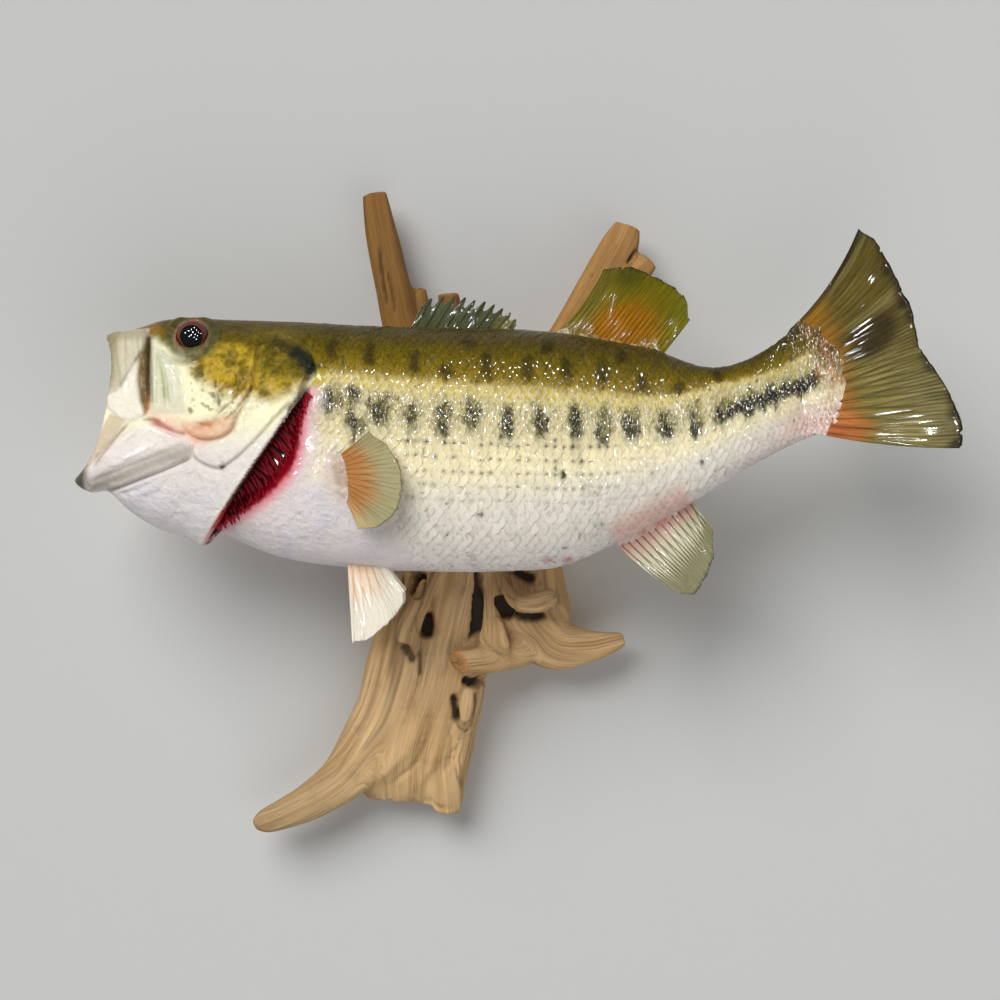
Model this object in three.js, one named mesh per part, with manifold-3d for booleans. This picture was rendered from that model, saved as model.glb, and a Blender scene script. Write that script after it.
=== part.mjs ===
// A largemouth bass as a taxidermist mounts it: mouth open, gill covers flared, fins spread,
// screwed through its far side to one piece of driftwood that hangs flat against a wall.
// Millimetres, +Z up. The wall is the plane y = 0 and the fish faces -X in front of it, at -Y.
// The origin is the middle of the flat sawn back of the driftwood.

import * as THREE from 'three';
import { LoftGeometry } from 'three/addons/geometries/LoftGeometry.js';
import { mergeVertices } from 'three/addons/utils/BufferGeometryUtils.js';
import Module from 'manifold-3d';

const wasm = await Module();
wasm.setup();

// ---- Driving dimensions ----------------------------------------------------------------------

const MIDDLE_Y = -93; // the plane of symmetry of the straight part of the fish
const GAP = 0.35; // clearance between two pieces that touch
const FAR_AWAY = 400; // longer than the whole mount, for cutters that run right through
const RING = 24; // points round a section of the fish
const BODY_POWER = 0.88; // under 1, a section is a little squarer than an ellipse
const SNOUT_POWER = 0.7; // the snout is flat on top, with the eyes at its corners
const BACK_TAPER = 0.12; // how much narrower a section is at the back than at the belly
const TAIL_SWING = { reach: 34, from: 40, to: 330 }; // how far the tail bends out from the wall
const HEAD_SWING = { reach: 4, from: 90, to: 300 }; // and the head, a little
const FIN_THICK = 1.5;
const FIN_EDGE = 0.8;

// One row for each section: back x, z; belly x, z; half width; extra width of the flared cheek.
const HEAD_ROWS = [
  [-232.4, 71.6, -253.0, -22.5, 25.0, 0],
  [-221.0, 73.5, -243.0, -28.7, 28.0, 0],
  [-209.7, 76.4, -231.1, -28.6, 30.0, 0],
  [-196.5, 80.6, -217.9, -40.6, 31.5, 0.5],
  [-178.0, 81.7, -199.6, -51.9, 34.0, 2],
  [-155.5, 81.0, -181.0, -57.5, 37.0, 5],
  [-125.0, 80.0, -170.5, -60.5, 38.5, 8.5],
  [-88.0, 77.8, -160.0, -62.0, 40.0, 9.5],
];
const TRUNK_ROWS = [
  [-122.0, 79.7, -168.0, -47.0, 34.0],
  [-105.0, 79.0, -152.0, -58.0, 37.5],
  [-83.0, 77.3, -118.0, -70.5, 41.0],
  [-48.4, 76.0, -66.0, -77.0, 44.0],
  [-10.6, 75.0, -16.9, -78.4, 45.5],
  [27.2, 74.1, 26.0, -77.5, 44.5],
  [52.4, 72.2, 54.0, -74.5, 42.0],
  [83.9, 67.2, 85.2, -61.4, 36.0],
  [112.3, 60.9, 115.4, -45.6, 28.5],
  [137.5, 51.6, 143.8, -29.2, 21.0],
  [156.4, 50.8, 170.8, -12.2, 15.5],
  [176.5, 58.4, 194.2, 0.4, 11.0],
  [195.0, 71.5, 213.5, 8.5, 6.5],
];
const MOUTH_ROWS = [
  [-243.0, 66.5, -264.0, -13.5, 21.0, 0],
  [-221.0, 67.0, -241.0, -21.5, 23.5, 0],
  [-200.0, 66.0, -216.0, -24.0, 24.0, 0],
  [-176.0, 52.0, -190.0, -26.0, 21.0, 0],
  [-152.0, 36.0, -160.0, -16.0, 14.0, 0],
  [-136.0, 20.0, -140.0, -2.0, 6.0, 0],
];
const LIP_SET_BACK = 13; // how far the sides of the mouth lie behind its upper and lower lip
const LIP_SET_BACK_ENDS = 0.34; // the share of the head's length over which that dies away
const TRUNK_STEPS = 17;
const HEAD_STEPS = 10;
const MOUTH_STEPS = 6;
const TAIL_CUT = [
  [128, 90],
  [138, -60],
];

// Lines on the side of the head, as x, z from front to back or top to bottom.
const COVER_REAR = [
  [-101, 100],
  [-101, 72],
  [-110, 65],
  [-103, 58],
  [-99, 49],
  [-99.5, 43],
  [-102, 39],
  [-170.6, -59.5],
  [-181, -74.5],
];
const PREOPERCLE = [
  [-110, 65],
  [-122, 67.5],
  [-134, 64.8],
  [-135.5, 55.6],
  [-138.5, 37.7],
  [-144.7, 21.1],
  [-147.5, 11.5],
  [-155.1, 6.4],
  [-166.8, 4.5],
  [-176, 8.2],
];
const COVER_LOWER = [
  [-176, -6.5],
  [-168, -12.1],
  [-162, -13.3],
  [-156.3, -12.2],
  [-145.3, -4.1],
  [-129.9, 7.6],
  [-114.5, 23.6],
  [-102, 39],
];
const JAW_LOWER = [
  [-176, -6.5],
  [-200.7, -18.2],
  [-214.2, -23.2],
  [-228, -27.4],
  [-245, -60],
];
const JAW_UPPER = [
  [-176, 8.2],
  [-191.4, 13.1],
  [-200.7, 16.8],
];
const MAXILLA_LOWER = [
  [-200.7, 16.8],
  [-207, 14.6],
  [-214.2, 14.4],
  [-222, 17.8],
  [-226, 23],
  [-262, 30],
];
const MAXILLA_REAR = [
  [-200.7, 16.8],
  [-200.7, 26],
  [-202.5, 38],
  [-201.3, 53],
  [-203.7, 72],
  [-205, 100],
];
const SHOULDER = [
  [-104, 37],
  [-107.6, 21.2],
  [-112, -8.4],
  [-119.6, -20.4],
  [-135.3, -34.3],
  [-162.4, -47.5],
  [-176, -62],
];
const THROAT_CORE = 15; // half the width of the neck between the two gill openings
const COVER_INNER = 34; // from the plane of symmetry to the inner face of a gill cover
const GILL_RECESS = 6; // how far the gills lie under the shoulder

// Where the middle of each piece of the head lies once it is cut apart.
const HEAD_CENTRES = {
  upper_jaw: [-215, 45],
  lower_jaw: [-222, -5],
  throat: [-190, -38],
  head: [-160, 50],
};
const CRUMB = 300; // cubic millimetres: anything smaller is waste from the cuts

const EYE = { x: -177, z: 68.7, radius: 10.2, depth: 7.4, aside: 19.8 };
const TONGUE = { x: -196, z: -20, length: 24, width: 10, height: 9, tilt: 4 };

// Each fin: its root line from front to back, the direction of its first and last ray, and the
// lengths of its rays at even steps between them, as seen square on from the side.
const CAUDAL = {
  root: [[196, 74], [213, 8]],
  angles: [57, -6],
  lengths: [75, 78, 77, 77, 77, 74, 74, 80, 86, 89, 87],
  wave: 3,
};
const SOFT_DORSAL = {
  root: [[47, 70], [116, 57]],
  angles: [52.5, 52],
  lengths: [54, 58.5, 57.5, 55, 52.5, 48.5, 42, 29],
  wave: 2.5,
};
const SPINY_DORSAL = {
  root: [[-45, 72], [30, 70]],
  angles: [60, 40],
  lengths: [22, 24, 26, 27, 27, 24, 19, 13, 8],
  wave: 1,
};
const ANAL = {
  root: [[84, -57], [134, -31]],
  angles: [-39, -57],
  lengths: [57, 59, 54, 48, 41, 26],
  wave: 2.5,
};
const PECTORAL = {
  root: [[-85, -6], [-80, -33]],
  angles: [30, -68],
  lengths: [23, 34, 38, 32, 26, 16],
  wave: 1.5,
};
const PELVIC = {
  root: [[-81, -71], [-57, -74]],
  angles: [-85, -52],
  lengths: [52, 49, 43, 37, 30, 20],
  wave: 2,
};

// ---- Solids ----------------------------------------------------------------------------------

// A closed geometry as a manifold-3d solid, turned right side out.
function solidOf(geometry) {
  const bare = geometry.index ? geometry.toNonIndexed() : geometry.clone();
  for (const name of Object.keys(bare.attributes)) {
    if (name !== 'position') bare.deleteAttribute(name);
  }
  const merged = mergeVertices(bare, 1e-3);
  const vertProperties = new Float32Array(merged.attributes.position.array);
  const triVerts = new Uint32Array(merged.index.array);
  const made = new wasm.Manifold(new wasm.Mesh({ numProp: 3, vertProperties, triVerts }));
  if (made.volume() > 0) return made;
  for (let i = 0; i < triVerts.length; i += 3) {
    [triVerts[i + 1], triVerts[i + 2]] = [triVerts[i + 2], triVerts[i + 1]];
  }
  return new wasm.Manifold(new wasm.Mesh({ numProp: 3, vertProperties, triVerts }));
}

function geometryOf(solid) {
  const { numProp, numVert, vertProperties, triVerts } = solid.getMesh();
  const position = new Float32Array(numVert * 3);
  for (let i = 0; i < numVert; i += 1) {
    position.set(vertProperties.subarray(i * numProp, i * numProp + 3), i * 3);
  }
  const geometry = new THREE.BufferGeometry();
  geometry.setAttribute('position', new THREE.BufferAttribute(position, 3));
  geometry.setIndex(new THREE.BufferAttribute(new Uint32Array(triVerts), 1));
  return geometry;
}

// The largest body of a cut solid, which drops crumbs that a cutter leaves beside it.
function main(solid) {
  return solid.decompose().reduce((a, b) => (a.volume() > b.volume() ? a : b));
}

// A value that runs smoothly through even steps of a list, at t from 0 to 1.
function along(values, t) {
  const line = new THREE.SplineCurve(values.map((v, i) => new THREE.Vector2(i, v)));
  return line.getPoint(THREE.MathUtils.clamp(t, 0, 1)).y;
}

// The outline x, z as a flat prism through the whole fish, or from y = near to y = far.
function prism(points, near = -FAR_AWAY, far = FAR_AWAY) {
  const shape = new THREE.Shape(points.map(([x, z]) => new THREE.Vector2(x, z)));
  const geometry = new THREE.ExtrudeGeometry(shape, { depth: far - near, bevelEnabled: false });
  geometry.rotateX(Math.PI / 2);
  geometry.translate(0, far, 0);
  return solidOf(geometry);
}

// A thin wall that follows a line of x, z points: the saw kerf that parts two neighbours.
function kerf(points, near = -FAR_AWAY, far = FAR_AWAY) {
  const rims = [[], []];
  points.forEach(([x, z], i) => {
    const [ax, az] = points[Math.max(i - 1, 0)];
    const [bx, bz] = points[Math.min(i + 1, points.length - 1)];
    const length = Math.hypot(bx - ax, bz - az);
    const shift = [((az - bz) / length) * GAP * 0.5, ((bx - ax) / length) * GAP * 0.5];
    rims[0].push([x + shift[0], z + shift[1]]);
    rims[1].unshift([x - shift[0], z - shift[1]]);
  });
  return prism([...rims[0], ...rims[1]], near, far);
}

// ---- Body ------------------------------------------------------------------------------------

function swing(x) {
  const tail = THREE.MathUtils.smoothstep(x, TAIL_SWING.from, TAIL_SWING.to);
  const head = THREE.MathUtils.smoothstep(-x, HEAD_SWING.from, HEAD_SWING.to);
  return -TAIL_SWING.reach * tail - HEAD_SWING.reach * head;
}

// A loft through rows of sections, each in the plane through its back, its belly and the Y axis.
function bodyLoft(rows, count, { grow = 0, setBack = 0, power = BODY_POWER } = {}) {
  const back = new THREE.SplineCurve(rows.map((r) => new THREE.Vector2(r[0], r[1])));
  const belly = new THREE.SplineCurve(rows.map((r) => new THREE.Vector2(r[2], r[3])));
  const widths = rows.map((r) => r[4]);
  const flares = rows.map((r) => r[5] ?? 0);
  const sections = [];
  for (let i = 0; i <= count; i += 1) {
    const t = i / count;
    const top = back.getPoint(t);
    const low = belly.getPoint(t);
    const centre = top.clone().add(low).multiplyScalar(0.5);
    const half = top.clone().sub(low).multiplyScalar(0.5);
    half.setLength(half.length() + grow);
    const fade = Math.max(0, 1 - t / LIP_SET_BACK_ENDS);
    const exponent = THREE.MathUtils.lerp(power, BODY_POWER, t);
    const points = [];
    for (let j = 0; j < RING; j += 1) {
      const angle = (2 * Math.PI * j) / RING;
      const up = Math.sign(Math.cos(angle)) * Math.abs(Math.cos(angle)) ** exponent;
      const side = -Math.sign(Math.sin(angle)) * Math.abs(Math.sin(angle)) ** exponent;
      const flare = along(flares, t) * side * side;
      const width = (along(widths, t) + grow) * (1 - BACK_TAPER * up) + flare;
      const x = centre.x + half.x * up + setBack * fade * side * side;
      points.push(new THREE.Vector3(x, MIDDLE_Y + swing(x) + width * side, centre.y + half.y * up));
    }
    sections.push(points);
  }
  return solidOf(new LoftGeometry(sections, { capStart: true, capEnd: true }));
}

const trunkWhole = bodyLoft(TRUNK_ROWS, TRUNK_STEPS);
const trunkGrown = bodyLoft(TRUNK_ROWS, TRUNK_STEPS, { grow: GAP });
const lips = { setBack: LIP_SET_BACK, power: SNOUT_POWER };
const headWhole = bodyLoft(HEAD_ROWS, HEAD_STEPS, lips);
const headGrown = bodyLoft(HEAD_ROWS, HEAD_STEPS, { ...lips, grow: GAP });
const mouth = bodyLoft(MOUTH_ROWS, MOUTH_STEPS, lips);
const mouthInner = bodyLoft(MOUTH_ROWS, MOUTH_STEPS, { ...lips, grow: -GAP });

const aheadOfCover = prism([...COVER_REAR, [-FAR_AWAY, -74.5], [-FAR_AWAY, 100]]);
const gillWindow = [...SHOULDER, [-220, -62], [-220, 37]];
const SIDES = [['left', -1], ['right', 1]];
const COVER_X = -130; // the middle of the gill covers
const coverOutline = [
  ...COVER_REAR.slice(2, 6),
  ...COVER_LOWER.toReversed(),
  ...PREOPERCLE.toReversed().slice(0, -1),
];

// From y to y, all that lies more than inset from the plane of symmetry on one side of the fish,
// at the place x. The left side, -1, is the one that faces the room.
function beyond(side, inset, x) {
  const plane = MIDDLE_Y + swing(x) + side * inset;
  const outside = MIDDLE_Y + side * FAR_AWAY;
  return [Math.min(plane, outside), Math.max(plane, outside)];
}

function eyeBall(side, grow = 0) {
  const ball = new THREE.SphereGeometry(1, 14, 8);
  ball.scale(EYE.radius + grow, EYE.depth + grow, EYE.radius + grow);
  ball.translate(EYE.x, MIDDLE_Y + swing(EYE.x) + side * EYE.aside, EYE.z);
  return solidOf(ball);
}

function headPieces() {
  const pieces = {};
  let rest = headWhole.intersect(aheadOfCover).subtract(mouth).subtract(kerf(COVER_REAR));
  for (const [name, side] of SIDES) {
    const deeper = beyond(side, COVER_INNER - GAP, COVER_X);
    const cover = rest.intersect(prism(coverOutline, ...beyond(side, COVER_INNER, COVER_X)));
    pieces[`gill_cover_${name}`] = main(cover.subtract(kerf(coverOutline, ...deeper)));
    rest = rest.subtract(prism(coverOutline, ...deeper)).subtract(kerf(coverOutline, ...deeper));
    rest = rest.subtract(eyeBall(side, GAP));
  }
  const cuts = [
    kerf([...JAW_LOWER.toReversed(), ...COVER_LOWER]),
    kerf([...JAW_UPPER, ...MAXILLA_LOWER.slice(1)]),
    kerf(MAXILLA_REAR),
    kerf([JAW_LOWER[0], JAW_UPPER[0]]),
  ];
  const parted = cuts.reduce((solid, cut) => solid.subtract(cut), rest);
  const bodies = parted.decompose().filter((body) => body.volume() > CRUMB);
  for (const [name, [x, z]] of Object.entries(HEAD_CENTRES)) {
    const distance = (body) => {
      const { min, max } = body.boundingBox();
      return Math.hypot((min[0] + max[0]) / 2 - x, (min[2] + max[2]) / 2 - z);
    };
    pieces[name] = bodies.reduce((a, b) => (distance(a) < distance(b) ? a : b));
  }
  return pieces;
}

function trunkPieces() {
  const pieces = {};
  let body = trunkWhole.subtract(aheadOfCover).subtract(kerf(COVER_REAR));
  const inner = bodyLoft(TRUNK_ROWS, TRUNK_STEPS, { grow: -GILL_RECESS });
  for (const [name, side] of SIDES) {
    const deeper = beyond(side, THROAT_CORE - GAP, COVER_X);
    const slit = kerf(SHOULDER, ...deeper);
    const filled = inner.intersect(prism(gillWindow, ...beyond(side, THROAT_CORE, COVER_X)));
    pieces[`gills_${name}`] = main(filled.subtract(slit).subtract(aheadOfCover).subtract(kerf(COVER_REAR)));
    body = body.subtract(prism(gillWindow, ...deeper)).subtract(slit);
  }
  const behind = prism([...TAIL_CUT, [FAR_AWAY, -60], [FAR_AWAY, 90]]);
  pieces.trunk = main(body.subtract(behind).subtract(kerf(TAIL_CUT)));
  pieces.tail_base = main(body.intersect(behind).subtract(kerf(TAIL_CUT)));
  return pieces;
}

// ---- Fins ------------------------------------------------------------------------------------

// A point of a fin's middle surface, at u from its first ray to its last and v from root to tip.
// out is how far the fin leans towards the viewer for each millimetre of its own length.
function finPoint(fin, u, v, { y, out = 0, curl = 0 }) {
  const [[ax, az], [bx, bz]] = fin.root;
  const angle = THREE.MathUtils.degToRad(THREE.MathUtils.lerp(fin.angles[0], fin.angles[1], u));
  const reach = along(fin.lengths, u) * v;
  const x = THREE.MathUtils.lerp(ax, bx, u) + Math.cos(angle) * reach;
  const z = THREE.MathUtils.lerp(az, bz, u) + Math.sin(angle) * reach;
  const ripple = fin.wave * v * Math.sin(u * Math.PI * 3);
  return new THREE.Vector3(x, y(x) - reach * (out + curl * v) + ripple, z);
}

// A closed thin plate on that surface, made from a box whose corners are carried onto it.
function finSolid(fin, steps, rows, lie) {
  const box = new THREE.BoxGeometry(1, 1, 1, steps, rows, 1);
  const position = box.getAttribute('position');
  const away = 0.02;
  for (let i = 0; i < position.count; i += 1) {
    const u = position.getX(i) + 0.5;
    const v = position.getY(i) + 0.5;
    const point = finPoint(fin, u, v, lie);
    const du = finPoint(fin, u + away, v, lie).sub(finPoint(fin, u - away, v, lie));
    const dv = finPoint(fin, u, v + away, lie).sub(finPoint(fin, u, v - away, lie));
    const thickness = THREE.MathUtils.lerp(FIN_THICK, FIN_EDGE, v);
    point.addScaledVector(du.cross(dv).normalize(), position.getZ(i) * thickness);
    position.setXYZ(i, point.x, point.y, point.z);
  }
  return solidOf(box);
}

// The surface that a fin stands on: the plane of symmetry, or inset from it on one side.
function standing(side = 0, inset = 0) {
  return (x) => MIDDLE_Y + swing(x) + side * inset;
}

function finPieces() {
  const pectoral = { left: [-1, 40, 0.75, -0.2], right: [1, 39, -0.6, 0.35] };
  const pelvic = { left: [-1, 13, 0.45, 0], right: [1, 13, -0.35, 0] };
  const fins = {
    caudal_fin: finSolid(CAUDAL, 12, 5, { y: standing(), curl: 0.12 }),
    dorsal_fin_soft: finSolid(SOFT_DORSAL, 9, 4, { y: standing(), curl: 0.12 }),
    dorsal_fin_spiny: finSolid(SPINY_DORSAL, 8, 2, { y: standing() }),
    anal_fin: finSolid(ANAL, 7, 4, { y: standing(), curl: 0.15 }),
  };
  for (const [name, [side, inset, out, curl]] of Object.entries(pectoral)) {
    fins[`pectoral_fin_${name}`] = finSolid(PECTORAL, 7, 4, { y: standing(side, inset), out, curl });
  }
  for (const [name, [side, inset, out, curl]] of Object.entries(pelvic)) {
    fins[`pelvic_fin_${name}`] = finSolid(PELVIC, 6, 4, { y: standing(side, inset), out, curl });
  }
  for (const name of Object.keys(fins)) fins[name] = main(fins[name].subtract(trunkGrown));
  return fins;
}

// The tongue: the part of a long flat ball that stands up out of the floor of the mouth.
function tonguePiece() {
  const ball = new THREE.SphereGeometry(1, 10, 6);
  ball.scale(TONGUE.length, TONGUE.width, TONGUE.height);
  ball.rotateY(THREE.MathUtils.degToRad(TONGUE.tilt));
  ball.translate(TONGUE.x, MIDDLE_Y + swing(TONGUE.x), TONGUE.z);
  return main(solidOf(ball).intersect(mouthInner));
}

// ---- Driftwood -------------------------------------------------------------------------------

const WOOD_RING = 12;
const WOOD_POWER = 0.8;

// Each piece of the driftwood and the limbs that it is made of. A limb is rows of x, z, half width,
// half depth and the y of its middle line, from its thick end to its thin one.
const WOOD = {
  driftwood_trunk: {
    stem: [
      [1, 80, 22, 15, -20],
      [0, 62, 34, 21, -19],
      [-3, 19, 37, 25, -22],
      [-10, -33, 36, 26, -24],
      [-19, -82, 31, 26, -24],
      [-31, -125, 34.5, 26, -24],
      [-38, -164, 40, 25, -23],
      [-45, -197, 41, 23, -21],
      [-45, -222, 37, 19, -17],
      [-45, -240, 29, 13, -14],
    ],
    club: [
      [-30, -88, 6, 6, -46],
      [-41, -106, 6.5, 6.5, -51],
      [-46.5, -120, 8, 7.5, -55],
      [-48, -127, 5.5, 5, -56],
    ],
    knot: [
      [-6, -156, 6, 6, -40],
      [-6.5, -166, 5.8, 5.5, -43],
      [-7.5, -176, 4, 4, -43],
    ],
    twig: [
      [-28, 66, 8, 8, -20],
      [-36, 90, 6.5, 6.5, -22],
      [-37.5, 106, 4.5, 4.5, -24],
    ],
    sawn: [
      [-14, 66, 9, 9, -22],
      [-18, 88, 8.5, 8.5, -26],
      [-19, 102, 8, 8, -30],
    ],
  },
  driftwood_root_left: {
    stem: [
      [-50, -190, 26, 18, -24],
      [-84, -216, 17.5, 14, -26],
      [-104, -229, 14, 11.5, -28],
      [-124, -239, 10, 9, -30],
      [-145, -248.5, 5.5, 5, -32],
    ],
  },
  driftwood_root_right: {
    stem: [
      [26, -30, 24, 20, -20],
      [32, -82, 26, 22, -22],
      [36, -112, 27, 20, -22],
      [52, -128.5, 17, 15, -24],
      [74, -129, 9.5, 10, -28],
      [93, -125, 5, 5, -30],
    ],
    bar: [
      [13, -85, 4, 4, -42],
      [25, -94, 6, 6, -48],
      [38, -98.5, 6.5, 6, -51],
      [50, -97, 4.5, 4.5, -52],
    ],
  },
  driftwood_branch_left: {
    stem: [
      [-24, 30, 17, 15, -18],
      [-47, 72, 14, 13, -20],
      [-56, 108, 12.5, 12, -22],
      [-63, 141, 11.5, 10.5, -24],
      [-67.5, 168, 9, 8, -26],
    ],
  },
  driftwood_branch_right: {
    stem: [
      [34, 30, 17, 16, -18],
      [61, 76, 14.5, 15, -20],
      [80, 108, 15, 13, -22],
      [93, 133, 13.5, 11, -24],
      [98.5, 147, 9.5, 8, -25],
    ],
    split: [
      [80, 92, 10, 8, -22],
      [98, 110, 11, 9, -24],
      [113, 124, 7.5, 7, -26],
    ],
  },
  driftwood_stub: {
    stem: [
      [30, -136, 9.5, 9, -36],
      [11, -136, 9.5, 9, -45],
      [-7, -137, 9, 9, -54],
      [-14, -137.5, 8.5, 8.5, -58],
    ],
  },
};

// The toothed steel strip let into the back, and its teeth, measured up from its lower edge.
const PLATE = { width: 46, height: 12, thick: 1.4, recess: 2, z: 20 };
const TEETH = { count: 7, span: 34, root: 5, tip: 3 };

// A limb: a loft of lumpy ovals square to its path in the plane of the wall.
function limb(rows, grow = 0) {
  const path = new THREE.SplineCurve(rows.map((r) => new THREE.Vector2(r[0], r[1])));
  const count = 2 * (rows.length - 1);
  const sections = [];
  for (let i = 0; i <= count; i += 1) {
    const t = i / count;
    const middle = path.getPoint(t);
    const ahead = path.getTangent(t);
    const [wide, deep, y] = [2, 3, 4].map((column) => along(rows.map((r) => r[column]), t));
    const points = [];
    for (let j = 0; j < WOOD_RING; j += 1) {
      const angle = (2 * Math.PI * j) / WOOD_RING;
      const across = Math.sign(Math.cos(angle)) * Math.abs(Math.cos(angle)) ** WOOD_POWER;
      const out = Math.sign(Math.sin(angle)) * Math.abs(Math.sin(angle)) ** WOOD_POWER;
      const lump = 1 + 0.05 * Math.cos(3 * angle + 2.2 * t);
      const sideways = across * (wide * lump + grow);
      const forward = y + out * (deep * lump + grow);
      const x = middle.x + ahead.y * sideways;
      points.push(new THREE.Vector3(x, forward, middle.y - ahead.x * sideways));
    }
    sections.push(points);
  }
  return solidOf(new LoftGeometry(sections, { capStart: true, capEnd: true }));
}

function slab(width, depth, height, x, y, z) {
  return solidOf(new THREE.BoxGeometry(width, depth, height).translate(x, y, z));
}

function woodPieces() {
  const wall = slab(2 * FAR_AWAY, FAR_AWAY, 2 * FAR_AWAY, 0, FAR_AWAY / 2, 0);
  const seat = trunkGrown.add(headGrown);
  const pieces = {};
  const earlier = [];
  for (const [name, limbs] of Object.entries(WOOD)) {
    const joined = (grow) =>
      Object.values(limbs)
        .map((rows) => limb(rows, grow))
        .reduce((a, b) => a.add(b));
    const cut = earlier.reduce((solid, other) => solid.subtract(other), joined(0));
    pieces[name] = main(cut.subtract(seat).subtract(wall));
    earlier.push(joined(GAP));
  }
  const { width, height, recess, z } = PLATE;
  const pocket = slab(width + 2 * GAP, 2 * recess, height + 2 * GAP, 0, 0, z);
  pieces.driftwood_trunk = pieces.driftwood_trunk.subtract(pocket);
  return pieces;
}

// The steel strip that the nail catches: a plate with a row of teeth in its lower edge.
function hangerPiece() {
  const half = PLATE.width / 2;
  const top = PLATE.z + PLATE.height / 2;
  const low = PLATE.z - PLATE.height / 2;
  const pitch = TEETH.span / TEETH.count;
  const points = [
    [-half, top],
    [-half, low],
  ];
  for (let i = 0; i < TEETH.count; i += 1) {
    const left = -TEETH.span / 2 + i * pitch;
    points.push([left, low + TEETH.tip], [left + pitch / 2, low + TEETH.root]);
  }
  points.push([TEETH.span / 2, low + TEETH.tip], [half, low], [half, top]);
  const back = GAP - PLATE.recess;
  return prism(points, back, back + PLATE.thick);
}

// ---- Assembly --------------------------------------------------------------------------------

const FINISH = {
  skin: new THREE.MeshStandardMaterial({ color: 0x9a8f4c, roughness: 0.3 }),
  pale: new THREE.MeshStandardMaterial({ color: 0xe2ddd0, roughness: 0.3 }),
  jaw: new THREE.MeshStandardMaterial({ color: 0xd9d4b4, roughness: 0.3 }),
  fin: new THREE.MeshStandardMaterial({ color: 0x7d7238, roughness: 0.35 }),
  pale_fin: new THREE.MeshStandardMaterial({ color: 0xdcc6a4, roughness: 0.4 }),
  gill: new THREE.MeshStandardMaterial({ color: 0x8c0c1c, roughness: 0.25 }),
  eye: new THREE.MeshStandardMaterial({ color: 0x1c1210, roughness: 0.05 }),
  tongue: new THREE.MeshStandardMaterial({ color: 0xd9a79a, roughness: 0.4 }),
  wood: new THREE.MeshStandardMaterial({ color: 0xb08a58, roughness: 0.8 }),
  steel: new THREE.MeshStandardMaterial({ color: 0xb8b8b4, roughness: 0.35, metalness: 1 }),
};

function finishFor(name) {
  if (name.startsWith('driftwood')) return FINISH.wood;
  if (name.startsWith('gills')) return FINISH.gill;
  if (name.startsWith('eye')) return FINISH.eye;
  if (name.startsWith('pectoral') || name.startsWith('pelvic')) return FINISH.pale_fin;
  if (name.includes('fin')) return FINISH.fin;
  if (name === 'throat') return FINISH.pale;
  if (name.endsWith('jaw')) return FINISH.jaw;
  if (name === 'tongue') return FINISH.tongue;
  return name === 'wall_hanger' ? FINISH.steel : FINISH.skin;
}

const solids = {
  ...headPieces(),
  ...trunkPieces(),
  ...finPieces(),
  ...woodPieces(),
  eye_left: eyeBall(-1),
  eye_right: eyeBall(1),
  tongue: tonguePiece(),
  wall_hanger: hangerPiece(),
};

const mount = new THREE.Group();
for (const [name, solid] of Object.entries(solids)) {
  const mesh = new THREE.Mesh(geometryOf(solid), finishFor(name).clone());
  mesh.name = name;
  mount.add(mesh);
}

export default mount;
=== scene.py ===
"""A largemouth bass as a taxidermist mounts it, fixed to a piece of driftwood on a wall.

The fish is one lacquered skin with a coat of separate scales, thin rayed fins, glass eyes, a comb of
gills behind each flared cover and a tongue. The driftwood is one weathered piece with a steel hanger
let into its back. Shapes are worked out in millimetres and become metres as meshes are made.
"""

import itertools
import math
from functools import partial

import bmesh
import bpy
import numpy as np
from mathutils import Matrix, Vector
from mathutils.kdtree import KDTree


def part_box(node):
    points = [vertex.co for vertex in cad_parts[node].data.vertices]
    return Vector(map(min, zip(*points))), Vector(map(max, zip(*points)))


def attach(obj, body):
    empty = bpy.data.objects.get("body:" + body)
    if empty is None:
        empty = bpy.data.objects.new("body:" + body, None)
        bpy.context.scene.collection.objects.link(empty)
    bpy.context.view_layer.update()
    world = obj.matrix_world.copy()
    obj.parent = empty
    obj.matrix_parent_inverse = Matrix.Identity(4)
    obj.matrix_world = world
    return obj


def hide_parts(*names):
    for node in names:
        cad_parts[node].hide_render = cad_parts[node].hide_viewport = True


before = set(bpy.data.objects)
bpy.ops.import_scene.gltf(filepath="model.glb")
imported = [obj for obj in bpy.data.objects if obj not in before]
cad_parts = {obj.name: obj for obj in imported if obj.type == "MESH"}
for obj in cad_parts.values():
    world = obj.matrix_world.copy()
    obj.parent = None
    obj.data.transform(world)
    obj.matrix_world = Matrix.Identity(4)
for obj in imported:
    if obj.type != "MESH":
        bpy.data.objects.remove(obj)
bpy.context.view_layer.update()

bl_info = {
    "name": "Mounted Largemouth Bass",
    "version": (1, 0, 0),
    "blender": (4, 5, 0),
    "location": "View3D > Sidebar > Mount",
    "description": "Builds the skin, scales, fins and driftwood of a mounted bass round its frame",
    "category": "Object",
}

MM = 0.001
BODY = "root"

# ---- The fish's own dimensions, in millimetres ------------------------------------------------

MIDDLE_Y = -93.0
BODY_POWER = 0.88
SNOUT_POWER = 0.7
BACK_TAPER = 0.12
TAIL_SWING = (34.0, 40.0, 330.0)
HEAD_SWING = (4.0, 90.0, 300.0)
LIP_SET_BACK = 13.0
LIP_SET_BACK_ENDS = 0.34

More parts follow.
